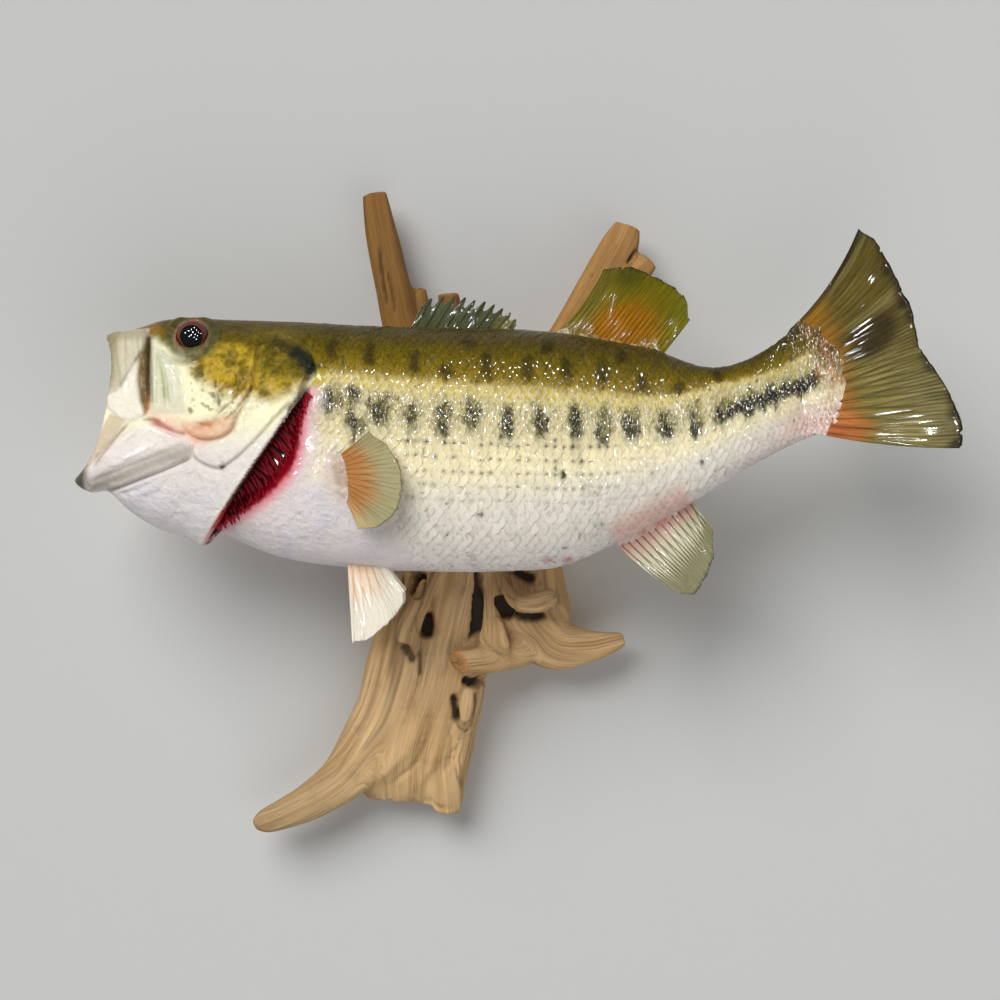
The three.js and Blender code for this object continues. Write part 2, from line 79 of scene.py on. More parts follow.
# One row for each section: back x, z; belly x, z; half width; extra width of the flared cheek.
HEAD_ROWS = np.array([
    (-232.4, 71.6, -253.0, -22.5, 25.0, 0),
    (-221.0, 73.5, -243.0, -28.7, 28.0, 0),
    (-209.7, 76.4, -231.1, -28.6, 30.0, 0),
    (-196.5, 80.6, -217.9, -40.6, 31.5, 0.5),
    (-178.0, 81.7, -199.6, -51.9, 34.0, 2),
    (-155.5, 81.0, -181.0, -57.5, 37.0, 5),
    (-125.0, 80.0, -170.5, -60.5, 38.5, 8.5),
    (-88.0, 77.8, -160.0, -62.0, 40.0, 9.5),
])
TRUNK_ROWS = np.array([
    (-122.0, 79.7, -168.0, -47.0, 34.0, 0),
    (-105.0, 79.0, -152.0, -58.0, 37.5, 0),
    (-83.0, 77.3, -118.0, -70.5, 41.0, 0),
    (-48.4, 76.0, -66.0, -77.0, 44.0, 0),
    (-10.6, 75.0, -16.9, -78.4, 45.5, 0),
    (27.2, 74.1, 26.0, -77.5, 44.5, 0),
    (52.4, 72.2, 54.0, -74.5, 42.0, 0),
    (83.9, 67.2, 85.2, -61.4, 36.0, 0),
    (112.3, 60.9, 115.4, -45.6, 28.5, 0),
    (137.5, 51.6, 143.8, -29.2, 21.0, 0),
    (156.4, 50.8, 170.8, -12.2, 15.5, 0),
    (176.5, 58.4, 194.2, 0.4, 11.0, 0),
    (195.0, 71.5, 213.5, 8.5, 6.5, 0),
])
MOUTH_ROWS = np.array([
    (-243.0, 66.5, -264.0, -13.5, 21.0, 0),
    (-221.0, 67.0, -241.0, -21.5, 23.5, 0),
    (-200.0, 66.0, -216.0, -24.0, 24.0, 0),
    (-176.0, 52.0, -190.0, -26.0, 21.0, 0),
    (-152.0, 36.0, -160.0, -16.0, 14.0, 0),
    (-136.0, 20.0, -140.0, -2.0, 6.0, 0),
])

# Lines on the side of the fish, as x, z.
COVER_REAR = ((-101, 100), (-101, 72), (-109, 65), (-103, 58), (-99, 49), (-99.5, 43), (-102, 39),
              (-170.6, -59.5), (-181, -74.5))
HEAD_SIDE = COVER_REAR + ((-290, -74.5), (-290, 100))
SHOULDER = ((-103, 38), (-106.5, 24), (-109, 8), (-112, -8.4), (-119.6, -20.4), (-135.3, -34.3),
            (-162.4, -49), (-178, -62))
CHAMBER = ((-103, 37), (-96, 36), (-150, -80), (-205, -80), (-186, -44), (-160, -8), (-128, 24))
LATERAL_LINE = ((-118, 31), (-102, 27), (-60, 23.7), (0, 20), (60, 18.7), (110, 17.4), (140, 20),
                (170, 28.7), (200, 37.6), (220, 43.2))
EYE = {"x": -177.0, "z": 68.7, "radius": 10.2, "depth": 7.4, "aside": 19.8}

COAT_DEPTH = 0.9  # how far the skin lies under the tips of the scales
GILL_RECESS = 9.0


# ---- Curves, noise and masks ------------------------------------------------------------------

def spline(values, t):
    """A smooth run through even steps of a list, at t from 0 to 1."""
    values = np.asarray(values, float)
    last = len(values) - 1
    t = np.clip(t, 0, 1) * last
    i = np.minimum(t.astype(int), last - 1)
    w = t - i
    if values.ndim > 1:
        w = w[..., None]
    before, here = values[np.maximum(i - 1, 0)], values[i]
    there, after = values[i + 1], values[np.minimum(i + 2, last)]
    leave, arrive = (there - before) / 2, (after - here) / 2
    cubic = 2 * here - 2 * there + leave + arrive
    square = -3 * here + 3 * there - 2 * leave - arrive
    return ((cubic * w + square) * w + leave) * w + here


def ease(value, low, high):
    """0 below low, 1 above high, and a smooth step between; low may be the greater."""
    t = np.clip((value - low) / (high - low), 0, 1)
    return t * t * (3 - 2 * t)


def run_through(x, rows):
    """The height at x of a line that joins its rows of x, z."""
    return np.interp(x, *np.array(rows).T)


def blend(a, b, t):
    return a + (b - a) * t


def cloud(points, size, seed=0.0):
    """Smooth noise from -1 to 1 whose lumps are about size across; size may differ by axis."""
    p = points / np.asarray(size, float) + seed * 17.31
    cell = np.floor(p)
    f = p - cell
    f = f * f * (3 - 2 * f)
    total = np.zeros(len(points))
    for corner in itertools.product((0, 1), repeat=points.shape[1]):
        turn = (cell + corner) @ np.array((127.1, 311.7, 74.7))[:points.shape[1]]
        chance = np.sin(turn + seed) * 43758.5453
        share = np.prod(np.where(corner, f, 1 - f), axis=1)
        total += (chance - np.floor(chance)) * share
    return total * 2 - 1


def layered_cloud(points, size, octaves=3, seed=0.0):
    size = np.asarray(size, float)
    total = sum(cloud(points, size / 2 ** i, seed + i) / 2 ** i for i in range(octaves))
    return total / (2 - 2 ** (1 - octaves))


def rounded(points, steps=6):
    """The same line with its corners rounded, as a denser list."""
    t = np.linspace(0, 1, (len(points) - 1) * steps + 1)
    return spline(np.array(points, float), t)


def to_line(x, z, points):
    """For each x, z: the distance to a line, the share along it and the side it lies on."""
    points = np.asarray(points, float)
    spans = np.hypot(*np.diff(points, axis=0).T)
    best = np.full(x.shape, np.inf)
    share = np.zeros(x.shape)
    hand = np.zeros(x.shape)
    run = 0.0
    for (ax, az), (bx, bz), span in zip(points, points[1:], spans):
        dx, dz = (bx - ax) / span, (bz - az) / span
        s = np.clip((x - ax) * dx + (z - az) * dz, 0, span)
        off_x, off_z = x - ax - s * dx, z - az - s * dz
        distance = np.hypot(off_x, off_z)
        nearer = distance < best
        best = np.where(nearer, distance, best)
        share = np.where(nearer, (run + s) / spans.sum(), share)
        hand = np.where(nearer, np.sign(dx * off_z - dz * off_x), hand)
        run += span
    return best, share, hand


def within(x, z, outline):
    """How far inside a closed outline each x, z lies; outside it, less than 0."""
    corners = [tuple(p) for p in outline]
    distance = to_line(x, z, corners + corners[:1])[0]
    odd = np.zeros(x.shape, bool)
    for (ax, az), (bx, bz) in zip(corners, corners[1:] + corners[:1]):
        if az == bz:
            continue
        crosses = (az > z) != (bz > z)
        odd ^= crosses & (x < (bx - ax) * (z - az) / (bz - az) + ax)
    return np.where(odd, distance, -distance)


def stroke(x, z, points, half_width, ends=0.15):
    """A soft line, 1 along its middle, that fades out at its two ends."""
    distance, share, _ = to_line(x, z, rounded(points))
    fade = ease(share, 0, ends) * ease(1 - share, 0, ends) if ends else 1
    return np.exp(-(distance / half_width) ** 2) * fade


def plate(x, z, outline, edge=1.0):
    return ease(within(x, z, outline), -edge / 2, edge / 2)


def spot(x, z, middle, reach, lean=0.0):
    """A soft oval, 1 in its middle; lean turns it, in degrees."""
    c, s = math.cos(math.radians(lean)), math.sin(math.radians(lean))
    dx, dz = x - middle[0], z - middle[1]
    return np.exp(-((dx * c + dz * s) / reach[0]) ** 2 - ((dz * c - dx * s) / reach[1]) ** 2)


# ---- The body's surface -----------------------------------------------------------------------

def swing(x):
    tail, head = TAIL_SWING, HEAD_SWING
    return -tail[0] * ease(x, tail[1], tail[2]) - head[0] * ease(-x, head[1], head[2])


def off_middle(x, y):
    """How far a place lies to the right of the fish's curved middle plane."""
    return y - (MIDDLE_Y + swing(x))


def section(rows, t, angle, grow=0.0, set_back=0.0, power=BODY_POWER, width_share=1.0):
    """Points on a loft through rows. Angle 0 is the back, a quarter turn the near side."""
    back_x, back_z, belly_x, belly_z, width, flare = np.moveaxis(spline(rows, t), -1, 0)
    middle_x, middle_z = (back_x + belly_x) / 2, (back_z + belly_z) / 2
    half_x, half_z = (back_x - belly_x) / 2, (back_z - belly_z) / 2
    longer = 1 + grow / np.hypot(half_x, half_z)
    e = power + (BODY_POWER - power) * t
    up = np.sign(np.cos(angle)) * np.abs(np.cos(angle)) ** e
    side = -np.sign(np.sin(angle)) * np.abs(np.sin(angle)) ** e
    wide = ((width + grow) * (1 - BACK_TAPER * up) + flare * side ** 2) * width_share
    x = middle_x + half_x * longer * up
    x = x + set_back * np.clip(1 - t / LIP_SET_BACK_ENDS, 0, 1) * side ** 2
    return np.stack((x, MIDDLE_Y + swing(x) + wide * side, middle_z + half_z * longer * up), -1)


def trunk_surface(t, angle, grow):
    """The trunk, which draws in to the thickness of the tail fin at its end."""
    share = 1 - 0.72 * ease(t, 0.9, 1.0)
    return section(TRUNK_ROWS, t, angle, grow=grow, width_share=share)


def head_surface(t, angle, grow):
    return section(HEAD_ROWS, t, angle, grow=grow, set_back=LIP_SET_BACK, power=SNOUT_POWER)


def mouth_surface(t, angle, grow):
    return section(MOUTH_ROWS, t, angle, grow=grow, set_back=LIP_SET_BACK, power=SNOUT_POWER)


# ---- Meshes -----------------------------------------------------------------------------------

def values_of(items, key, width=1, kind=np.int32):
    """One property of all of a mesh's corners, edges or faces, a row for each."""
    flat = np.empty(len(items) * width, kind)
    items.foreach_get(key, flat)
    return flat.reshape(-1, width) if width > 1 else flat


def corners_of(mesh):
    return values_of(mesh.vertices, "co", 3, np.float32).astype(float)


def move_corners(mesh, places):
    mesh.vertices.foreach_set("co", np.ascontiguousarray(places, np.float32).ravel())
    mesh.update()


def facings_of(mesh):
    return values_of(mesh.vertices, "normal", 3, np.float32).astype(float)


def edges_of(mesh):
    return values_of(mesh.edges, "vertices", 2)


def note(mesh, name, values, kind="FLOAT"):
    """Keeps one value, or one colour, for each vertex as a named attribute of the mesh."""
    attribute = mesh.attributes.new(name, kind, "POINT")
    if kind == "FLOAT_COLOR":
        values = np.column_stack((values, np.ones(len(values))))
        attribute.data.foreach_set("color", np.ascontiguousarray(values, np.float32).ravel())
    else:
        attribute.data.foreach_set("value", np.ascontiguousarray(values, np.float32))


def mesh_from(bm, name):
    mesh = bpy.data.meshes.new(name)
    bm.to_mesh(mesh)
    bm.free()
    return mesh


def carried_grid(columns, rows, carry):
    """A grid whose corners, at u and v from 0 to 1, are carried to the places carry gives, in mm."""
    bm = bmesh.new()
    bmesh.ops.create_grid(bm, x_segments=columns, y_segments=rows, size=0.5)
    mesh = mesh_from(bm, "grid")
    flat = corners_of(mesh)
    move_corners(mesh, carry(flat[:, 0] + 0.5, flat[:, 1] + 0.5) * MM)
    return mesh


def sealed(mesh, reach=1e-6):
    """The mesh with its doubles merged and its faces turned outwards."""
    bm = bmesh.new()
    bm.from_mesh(mesh)
    bmesh.ops.remove_doubles(bm, verts=bm.verts, dist=reach)
    bmesh.ops.dissolve_degenerate(bm, edges=bm.edges, dist=1e-8)
    bmesh.ops.recalc_face_normals(bm, faces=bm.faces)
    bm.to_mesh(mesh)
    bm.free()
    return mesh


def closed_loft(surface, columns, rows, grow):
    """A loft with a flat lid at each end: its first and last ring shrink to the ring's middle."""
    def carry(u, v):
        step = np.clip((v * (rows + 2) - 1) / rows, 0, 1)
        points = surface(step, u * 2 * math.pi, grow)
        lid = (v < 0.5 / (rows + 2)) | (v > 1 - 0.5 / (rows + 2))
        back, belly = (surface(step, np.full(len(u), turn), grow) for turn in (0.0, math.pi))
        return np.where(lid[:, None], (back + belly) / 2, points)
    return sealed(carried_grid(columns, rows + 2, carry))


def prism(outline, near=-260.0, far=40.0):
    """An outline in x, z, extruded along Y."""
    bm = bmesh.new()
    face = bm.faces.new([bm.verts.new((x * MM, near * MM, z * MM)) for x, z in outline])
    out = bmesh.ops.extrude_face_region(bm, geom=[face])["geom"]
    moved = [item for item in out if isinstance(item, bmesh.types.BMVert)]
    bmesh.ops.translate(bm, verts=moved, vec=(0, (far - near) * MM, 0))
    bmesh.ops.recalc_face_normals(bm, faces=bm.faces)
    return mesh_from(bm, "prism")


def placed(mesh, name):
    mesh.name = name
    piece = bpy.data.objects.new(name, mesh)
    bpy.context.scene.collection.objects.link(piece)
    return piece


def drop(*pieces):
    for piece in pieces:
        mesh = piece.data
        bpy.data.objects.remove(piece)
        bpy.data.meshes.remove(mesh)


def settle(piece):
    """Applies the piece's modifiers to its mesh."""
    graph = bpy.context.evaluated_depsgraph_get()
    mesh = bpy.data.meshes.new_from_object(piece.evaluated_get(graph))
    old = piece.data
    piece.modifiers.clear()
    piece.data = mesh
    bpy.data.meshes.remove(old)
    return piece


def combined(target, cutter, operation):
    """The target after a boolean with the cutter, which is used up."""
    tool = target.modifiers.new("cut", "BOOLEAN")
    tool.operation = operation
    tool.solver = "MANIFOLD"
    tool.object = cutter
    settle(target)
    drop(cutter)
    return target


def tree_of(points):
    """The points, ready for the nearest one to be found."""
    tree = KDTree(len(points))
    for i, point in enumerate(points):
        tree.insert(point, i)
    tree.balance()
    return tree


def joined(meshes, name):
    bm = bmesh.new()
    for mesh in meshes:
        bm.from_mesh(mesh)
    return mesh_from(bm, name)


def remeshed(piece, voxel):
    """One closed skin round all that the piece's mesh encloses, in even faces about a voxel wide."""
    tool = piece.modifiers.new("voxels", "REMESH")
    tool.mode = "VOXEL"
    tool.voxel_size = voxel * MM
    return settle(piece)


def relaxed(places, edges, rounds, share=0.5):
    """Places after each has been drawn towards the mean of its neighbours, some rounds over."""
    count = len(places)
    degree = np.bincount(edges.ravel(), minlength=count)[:, None]
    for _ in range(rounds):
        total = np.stack([
            np.bincount(edges[:, 0], places[edges[:, 1], axis], count)
            + np.bincount(edges[:, 1], places[edges[:, 0], axis], count)
            for axis in range(3)
        ], -1)
        places = blend(places, total / degree, share)
    return places


def smooth_shaded(mesh):
    mesh.polygons.foreach_set("use_smooth", np.ones(len(mesh.polygons), bool))
    mesh.update()


def finished(piece, slot, material, *replaced):
    """Gives a piece its finish and its place in the frame."""
    piece.data.materials.clear()
    piece.data.materials.append(material)
    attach(piece, BODY)
    if replaced:
        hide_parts(*replaced)
    return piece


# ---- Skin: its shape --------------------------------------------------------------------------

SIDES = ((-1, "left"), (1, "right"))
SKIN_NODES = ("head", "gill_cover_left", "gill_cover_right", "upper_jaw", "lower_jaw", "throat", "trunk",
              "tail_base")

GILL_WINDOW = tuple(map(tuple, rounded(SHOULDER, 3))) + ((-230, -62), (-230, 38))
HEAD_WINDOW = ((-96, 120), (-96, 72), (-105, 65), (-98, 58), (-94, 49), (-94, 36), (-290, 36), (-290, 120))


def gill_hollow(x, z):
    """1 where the trunk is sunk for the gills, ahead of the shoulder's edge."""
    return ease(within(x, z, GILL_WINDOW), -1.0, 4.0)


def scaled_share(x, z):
    """1 where the fish carries scales and 0 where its skin is bare, behind the gills and round the
    roots of the paired fins."""
    clear = -within(x, z, GILL_WINDOW)
    bare = 1 - ease(clear, 5, 9 + 13 * ease(-z, -22, 0))
    bare = np.maximum(bare, (1 - ease(x + 0.5 * z, -96, -54)) * ease(-z, 8, 30))
    bare = np.maximum(bare, ease(spot(x, z, (-86, -17), (9, 19), 8), 0.35, 0.6))
    bare = np.maximum(bare, within(x, z, HEAD_WINDOW) > 0)
    return 1 - bare


def sunk_trunk(t, angle, grow):
    """The trunk's skin: level with the scales where it is bare, and sunk for the gills."""
    flush = trunk_surface(t, angle, grow)
    x, z = flush[..., 0], flush[..., 2]
    bare = COAT_DEPTH * 0.8 * (1 - scaled_share(x, z))
    return trunk_surface(t, angle, grow + bare - GILL_RECESS * gill_hollow(x, z))


def eye_ball(side, grow=0.0):
    """A flattened ball, its poles on the axis of sight."""
    bm = bmesh.new()
    bmesh.ops.create_uvsphere(bm, u_segments=64, v_segments=40, radius=1.0)
    bmesh.ops.rotate(bm, verts=bm.verts, matrix=Matrix.Rotation(math.pi / 2, 3, "X"))
    radius, depth = EYE["radius"] + grow, EYE["depth"] + grow
    bmesh.ops.scale(bm, verts=bm.verts, vec=(radius * MM, depth * MM, radius * MM))
    middle = (EYE["x"], MIDDLE_Y + swing(EYE["x"]) + side * EYE["aside"], EYE["z"])
    bmesh.ops.translate(bm, verts=bm.verts, vec=Vector(middle) * MM)
    bmesh.ops.recalc_face_normals(bm, faces=bm.faces)
    return mesh_from(bm, "eye")


def bare_head(cover_wall):
    """The head with its mouth open, its eyes out and a hollow behind each gill cover."""
    head = placed(closed_loft(head_surface, 168, 110, -COAT_DEPTH * 0.6), "head_form")
    combined(head, placed(prism(HEAD_SIDE), "front"), "INTERSECT")
    hollow = placed(closed_loft(head_surface, 120, 80, -cover_wall), "hollow")
    combined(hollow, placed(prism(CHAMBER), "chamber"), "INTERSECT")
    combined(head, hollow, "DIFFERENCE")
    combined(head, placed(closed_loft(mouth_surface, 120, 60, 0.4), "mouth"), "DIFFERENCE")
    for side in (-1, 1):
        combined(head, placed(eye_ball(side, 0.5), "socket"), "DIFFERENCE")
    return head


# Creases that are both carved and painted with lines of painted shade.
UNDER_EYE = ((-197.5, 62), (-193.5, 56.5), (-185.9, 52.8), (-176.7, 52.1), (-168.6, 57))
MOUTH_FOLD = ((-207, 16.8), (-198.3, 15.7), (-193.9, 11.4), (-186.5, 8.0), (-178.5, 7.4))
COVER_FOOT = ((-174.6, 2.4), (-174.4, -5.2), (-169.9, -9.8), (-161.2, -13.4), (-155.7, -12.9),
              (-146.4, -6.8), (-134.7, 4.2), (-124.8, 15.2), (-112, 28.6), (-103.9, 36.7))
JAW_FOOT = ((-175.4, -7.3), (-190.9, -13.8), (-207.5, -20.2), (-223.6, -25.8), (-240, -28.6))
# Raised and sunk lines on each side of the head: points x, z; half width; height; fade at ends.
CREASES = (
    # the fold across the upper jaw's side plate, and the dark groove behind it
    (((-207.5, 62), (-215.5, 48), (-222.9, 35.5)), 1.5, 0.9, 0.2),
    (((-203.8, 68), (-203.4, 52), (-202.6, 38), (-201.9, 25)), 1.7, -2.2, 0.1),
    # soft folds that fan down behind it
    (((-199.5, 62), (-198.6, 44), (-198.6, 25)), 1.5, 0.8, 0.25),
    (((-198.0, 60), (-194.8, 42), (-193.4, 23)), 1.6, 1.0, 0.25),
    (((-196.5, 59), (-190.5, 42), (-187.6, 24)), 1.7, 0.9, 0.25),
    (((-194.0, 57), (-186.0, 42), (-182.4, 26)), 1.6, 0.6, 0.25),
    (((-196.4, 58), (-192.6, 41), (-190.8, 22)), 1.0, -0.9, 0.2),
    (((-197.6, 60), (-196.6, 42), (-196.2, 24)), 1.0, -0.8, 0.2),
    # the fold that runs back from the corner of the mouth
    (MOUTH_FOLD, 1.1, -1.6, 0.12),
    (((-205, 19.0), (-197.0, 18.4), (-191.5, 14.2), (-184.5, 11.0)), 1.3, 0.8, 0.2),
    # under the eye
    (UNDER_EYE, 1.3, -0.7, 0.2),
    # the cheek's rear creases and the slit at its foot
    (((-134.7, 66), (-135.9, 51), (-137.8, 38), (-140.8, 29.9), (-145.8, 20.1), (-150.1, 10.2),
      (-157.5, 5.3), (-166.8, 4.0), (-175.4, 5.9), (-180, 10.2)), 1.1, -1.5, 0.06),
    (((-137.2, 45.4), (-144.5, 35), (-152.5, 26), (-161.2, 17)), 0.9, -0.9, 0.2),
    (((-134.9, 40), (-142.5, 29), (-149.5, 20.5), (-156.9, 14.0)), 0.9, -0.8, 0.2),
    (((-175.4, 13.6), (-168, 12.6), (-161.9, 10.4)), 1.1, -1.3, 0.2),
    # the lower edge of the gill cover's plate
    (COVER_FOOT, 1.0, -1.0, 0.05),
    (((-155.7, -10.5), (-154.5, -13.8)), 1.2, -1.0, 0.0),
    # the rays that stiffen the membrane below it
    (((-172, -12), (-166, -24), (-166.5, -42), (-170, -56)), 1.6, 0.5, 0.2),
    (((-165, -16), (-157, -26), (-160, -44), (-166.5, -56)), 1.6, 0.5, 0.2),
    (((-156, -15), (-148.5, -22), (-152, -32), (-160, -46)), 1.5, 0.4, 0.2),
    (((-146, -9), (-139.5, -12.5), (-145, -22)), 1.4, 0.4, 0.2),
    # the lower jaw: its upper rim, the folds above it, its lower border
    (((-206, 14), (-220.5, 3.4), (-230.3, -4), (-237.5, -13)), 1.2, 0.7, 0.15),
    (((-209, 12.5), (-222.5, 2.4), (-232.3, -6)), 0.9, -0.9, 0.15),
    (((-213.5, 15.5), (-221, 8), (-229.5, -1), (-238.4, -10)), 0.9, -0.8, 0.15),
    (((-178, 1.5), (-197, -6), (-220, -14.5), (-241, -22)), 1.6, -0.8, 0.1),
    (((-196, 2.6), (-212, -5.5), (-228, -13)), 1.3, 0.5, 0.2),
    (JAW_FOOT, 1.2, -1.7, 0.06),
    (((-193, -18.5), (-206, -25), (-217, -28.6), (-228, -29.6)), 1.6, -0.6, 0.3),
    (((-188, -22), (-199, -29), (-212, -33)), 1.8, -0.4, 0.4),
    (((-180, -30), (-186, -42), (-198, -50)), 2.2, -0.4, 0.4),
    # the shoulder's crease
    (((-103.6, 24), (-99.5, 17), (-96.8, 9.5), (-96.0, -1), (-99.6, -14)), 0.9, -1.1, 0.12),
    (((-100.6, 25), (-96.5, 17), (-93.8, 9.5), (-93.0, -1)), 1.6, 0.5, 0.2),
)
# Raised plates: an outline in x, z, its height and how softly it ends.
PLATES = (
    # the side plate of the upper jaw
    (((-229, 72), (-204.6, 72), (-203.8, 45), (-203.2, 27), (-205.4, 19.4), (-213.7, 16.2),
      (-222, 18.6), (-228.5, 25)), 1.2, 1.0),
    # the cheek
    (((-134.9, 66.3), (-136.1, 50.9), (-138, 38), (-141, 29.9), (-146, 20.1), (-150.4, 10.6),
      (-157.5, 5.8), (-166.8, 4.6), (-175, 6.4), (-182, 14), (-181, 30), (-178, 48), (-168, 56),
      (-164, 66), (-150, 72)), 0.8, 1.6),
    # the gill cover's bony plate
    (((-110.5, 65), (-122, 67.5), (-134, 65), (-135.5, 55.6), (-137.5, 37.7), (-143.6, 21.1),
      (-148, 9.5), (-156, 4.4), (-166.8, 2.8), (-174, 3.0), (-174, -5.2), (-169.7, -9.3),
      (-161.2, -12.7), (-155.7, -12.2), (-146.4, -6.2), (-134.7, 4.9), (-124.8, 16), (-103.9, 37.2),
      (-99.9, 41), (-99.6, 47.8), (-102.8, 55.2), (-109.4, 63.7)), 0.9, 1.0),
    # the lower jaw's bone
    (((-175.4, 4), (-196, 10), (-207, 13), (-231, -4.5), (-243, -14), (-252, -24), (-240, -28.2),
      (-223.6, -25.2), (-207.5, -19.6), (-190.9, -13.2), (-175.4, -6.8)), 0.7, 1.2),
    # the ring of bone under and ahead of the eye
    (((-199, 64), (-194, 57.2), (-186, 53.6), (-176.7, 53), (-167, 58), (-163.5, 69), (-170, 80),
      (-186, 80), (-197, 72)), 0.6, 1.4),
)
# The part of the head that carries small scales.
CHEEK = ((-176, 60), (-170, 34), (-150, 14), (-112, 34), (-98, 50), (-110, 70), (-160, 74))
# The hollow between the upper jaw's side plate and the folds behind it.
GROOVE = ((-204.5, 71), (-203, 60), (-202, 40), (-201.5, 24), (-204.5, 20), (-208, 28), (-210, 42),
          (-209.5, 55), (-206, 66))
NOSTRILS = ((-190.6, 73.2), (-187.2, 74.4))
PECTORAL_ROOT = ((-86.5, -5), (-84.5, -14), (-82.5, -24), (-81, -34))
VENT = ((44.5, -70.5), (57, -70.2))


def carve(places, facings):
    """Moves the bare skin's points out and in, to make the plates, folds and pits of a bass."""
    x, y, z = places.T
    aside = off_middle(x, y)
    side = np.sign(aside)
    outward = ease(facings[:, 1] * side, -0.05, 0.35)
    lift = np.zeros(len(x))
    for points, half_width, height, ends in CREASES:
        lift += 1.6 * height * stroke(x, z, points, half_width, ends)
    for outline, height, edge in PLATES:
        lift += height * plate(x, z, outline, edge)
    around = np.hypot(x - EYE["x"], z - EYE["z"])
    lift += np.exp(-(around - EYE["radius"]) ** 2)
    for nostril in NOSTRILS:
        lift -= 1.6 * spot(x, z, nostril, (1.1, 0.8), 25)
        lift += 0.5 * np.exp(-((np.hypot(x - nostril[0], z - nostril[1]) - 1.9) / 0.6) ** 2)
    lift -= 1.6 * plate(x, z, GROOVE, 5)
    # the brow over the eye
    lift += 1.6 * stroke(x, z, ((-192, 74), (-187, 79.5), (-178, 81.5), (-169, 79.5), (-164, 74)), 2.0)
    lift += stroke(x, z, PECTORAL_ROOT, 3.2, 0.25) * (1.1 + 0.8 * layered_cloud(places, 2.6, 2, 6))
    # the gill cover's free edge stands off a little
    flare = 1 - ease(to_line(x, z, ((-101, 40), (-171, -60)))[0], 1, 17)
    lift += 3.2 * flare * (1 - gill_side(x, z)) * ease(40 - z, 0, 12)
    # long waves in the bare skin of the throat, the shoulder and the front of the belly
    bare = (1 - scaled_share(x, z)) * ease(-z, -30, 10)
    lift += 0.5 * bare * layered_cloud(places, (16, 16, 7), 3, 3)
    lift += 0.35 * bare * ease(-z, 40, 62) * layered_cloud(places, (26, 26, 3.2), 2, 13)
    lift *= outward
    # long folds inside the mouth, and the rough band of teeth inside its lips
    inner = ease(-facings[:, 1] * side, 0.05, 0.3) * (1 - ease(x, -150, -130))
    lift += inner * (1.1 * layered_cloud(places, (40, 9, 7), 3, 19) * ease(x, -232, -212)
                     + 0.5 * cloud(places, 1.6, 29) * (1 - ease(x, -228, -214)))
    # a low ridge of skin along the root of each fin on the back and the belly
    for line in (((-46, 73.5), (31, 73)), ((45, 71.5), (118, 58.5)), ((82, -60), (136, -33))):
        lift += 1.2 * np.exp(-(to_line(x, z, line)[0] / 3.0) ** 2) * np.exp(-(aside / 4.0) ** 2)
    for middle_of_pit in VENT:
        near = spot(x, z, middle_of_pit, (3.4, 2.2)) * ease(-side, 0, 1)
        lift -= 0.8 * near
    return places + facings * lift[:, None]


def skin_shape(voxel, limit):
    head = bare_head(COAT_DEPTH * 0.6 + 2.0)
    trunk = closed_loft(sunk_trunk, 180, 200, -COAT_DEPTH)
    both = placed(joined([head.data, trunk], "skin_form"), "bass_skin")
    drop(head)
    remeshed(both, voxel)
    mesh = both.data
    places = relaxed(corners_of(mesh) / MM, edges_of(mesh), 4)
    move_corners(mesh, places * MM)
    places = carve(places, facings_of(mesh))
    places = relaxed(places, edges_of(mesh), 1, 0.35)
    move_corners(mesh, places * MM)
    thin_out(both, limit)
    smooth_shaded(both.data)
    return both


def thin_out(piece, limit):
    """Fewer faces, most of all under the scales and inside the head, where the skin hardly shows."""
    mesh = piece.data
    triangles = sum(len(p.vertices) - 2 for p in mesh.polygons)
    if triangles <= limit:
        return
    x, y, z = (corners_of(mesh) / MM).T
    side = np.sign(off_middle(x, y))
    inside = ease(-facings_of(mesh)[:, 1] * side, 0.1, 0.3) * (1 - ease(x, -112, -104))
    under = ease(x, -96, -80) * (spot(x, z, (-84, -18), (9, 20)) < 0.4)
    ease_of_loss = np.maximum(np.maximum(0.9 * under, 0.7 * inside), 0.12)
    group = piece.vertex_groups.new(name="thin")
    steps = np.rint(ease_of_loss * 20).astype(int)
    for step in np.unique(steps):
        group.add(np.flatnonzero(steps == step).tolist(), step / 20, "REPLACE")
    tool = piece.modifiers.new("fewer", "DECIMATE")
    tool.vertex_group = group.name
    tool.vertex_group_factor = 1.0
    tool.ratio = limit / triangles
    settle(piece)
    piece.vertex_groups.clear()


# ---- Markings, the same on skin and scales ----------------------------------------------------

def tone(red, green, blue):
    """A colour given in display steps of 0 to 255, as light."""
    c = np.array((red, green, blue)) / 255
    return np.where(c <= 0.04045, c / 12.92, ((c + 0.055) / 1.055) ** 2.4)


# The lower edge of the olive back, as x, z.
BACK_EDGE = ((-240, 62), (-140, 52), (-97, 46), (-47, 41), (2.3, 37.2), (56, 33.6), (99, 30.2),
             (128.6, 32), (150.5, 38.2), (172, 43), (188.6, 48.5), (205, 58), (225, 72))
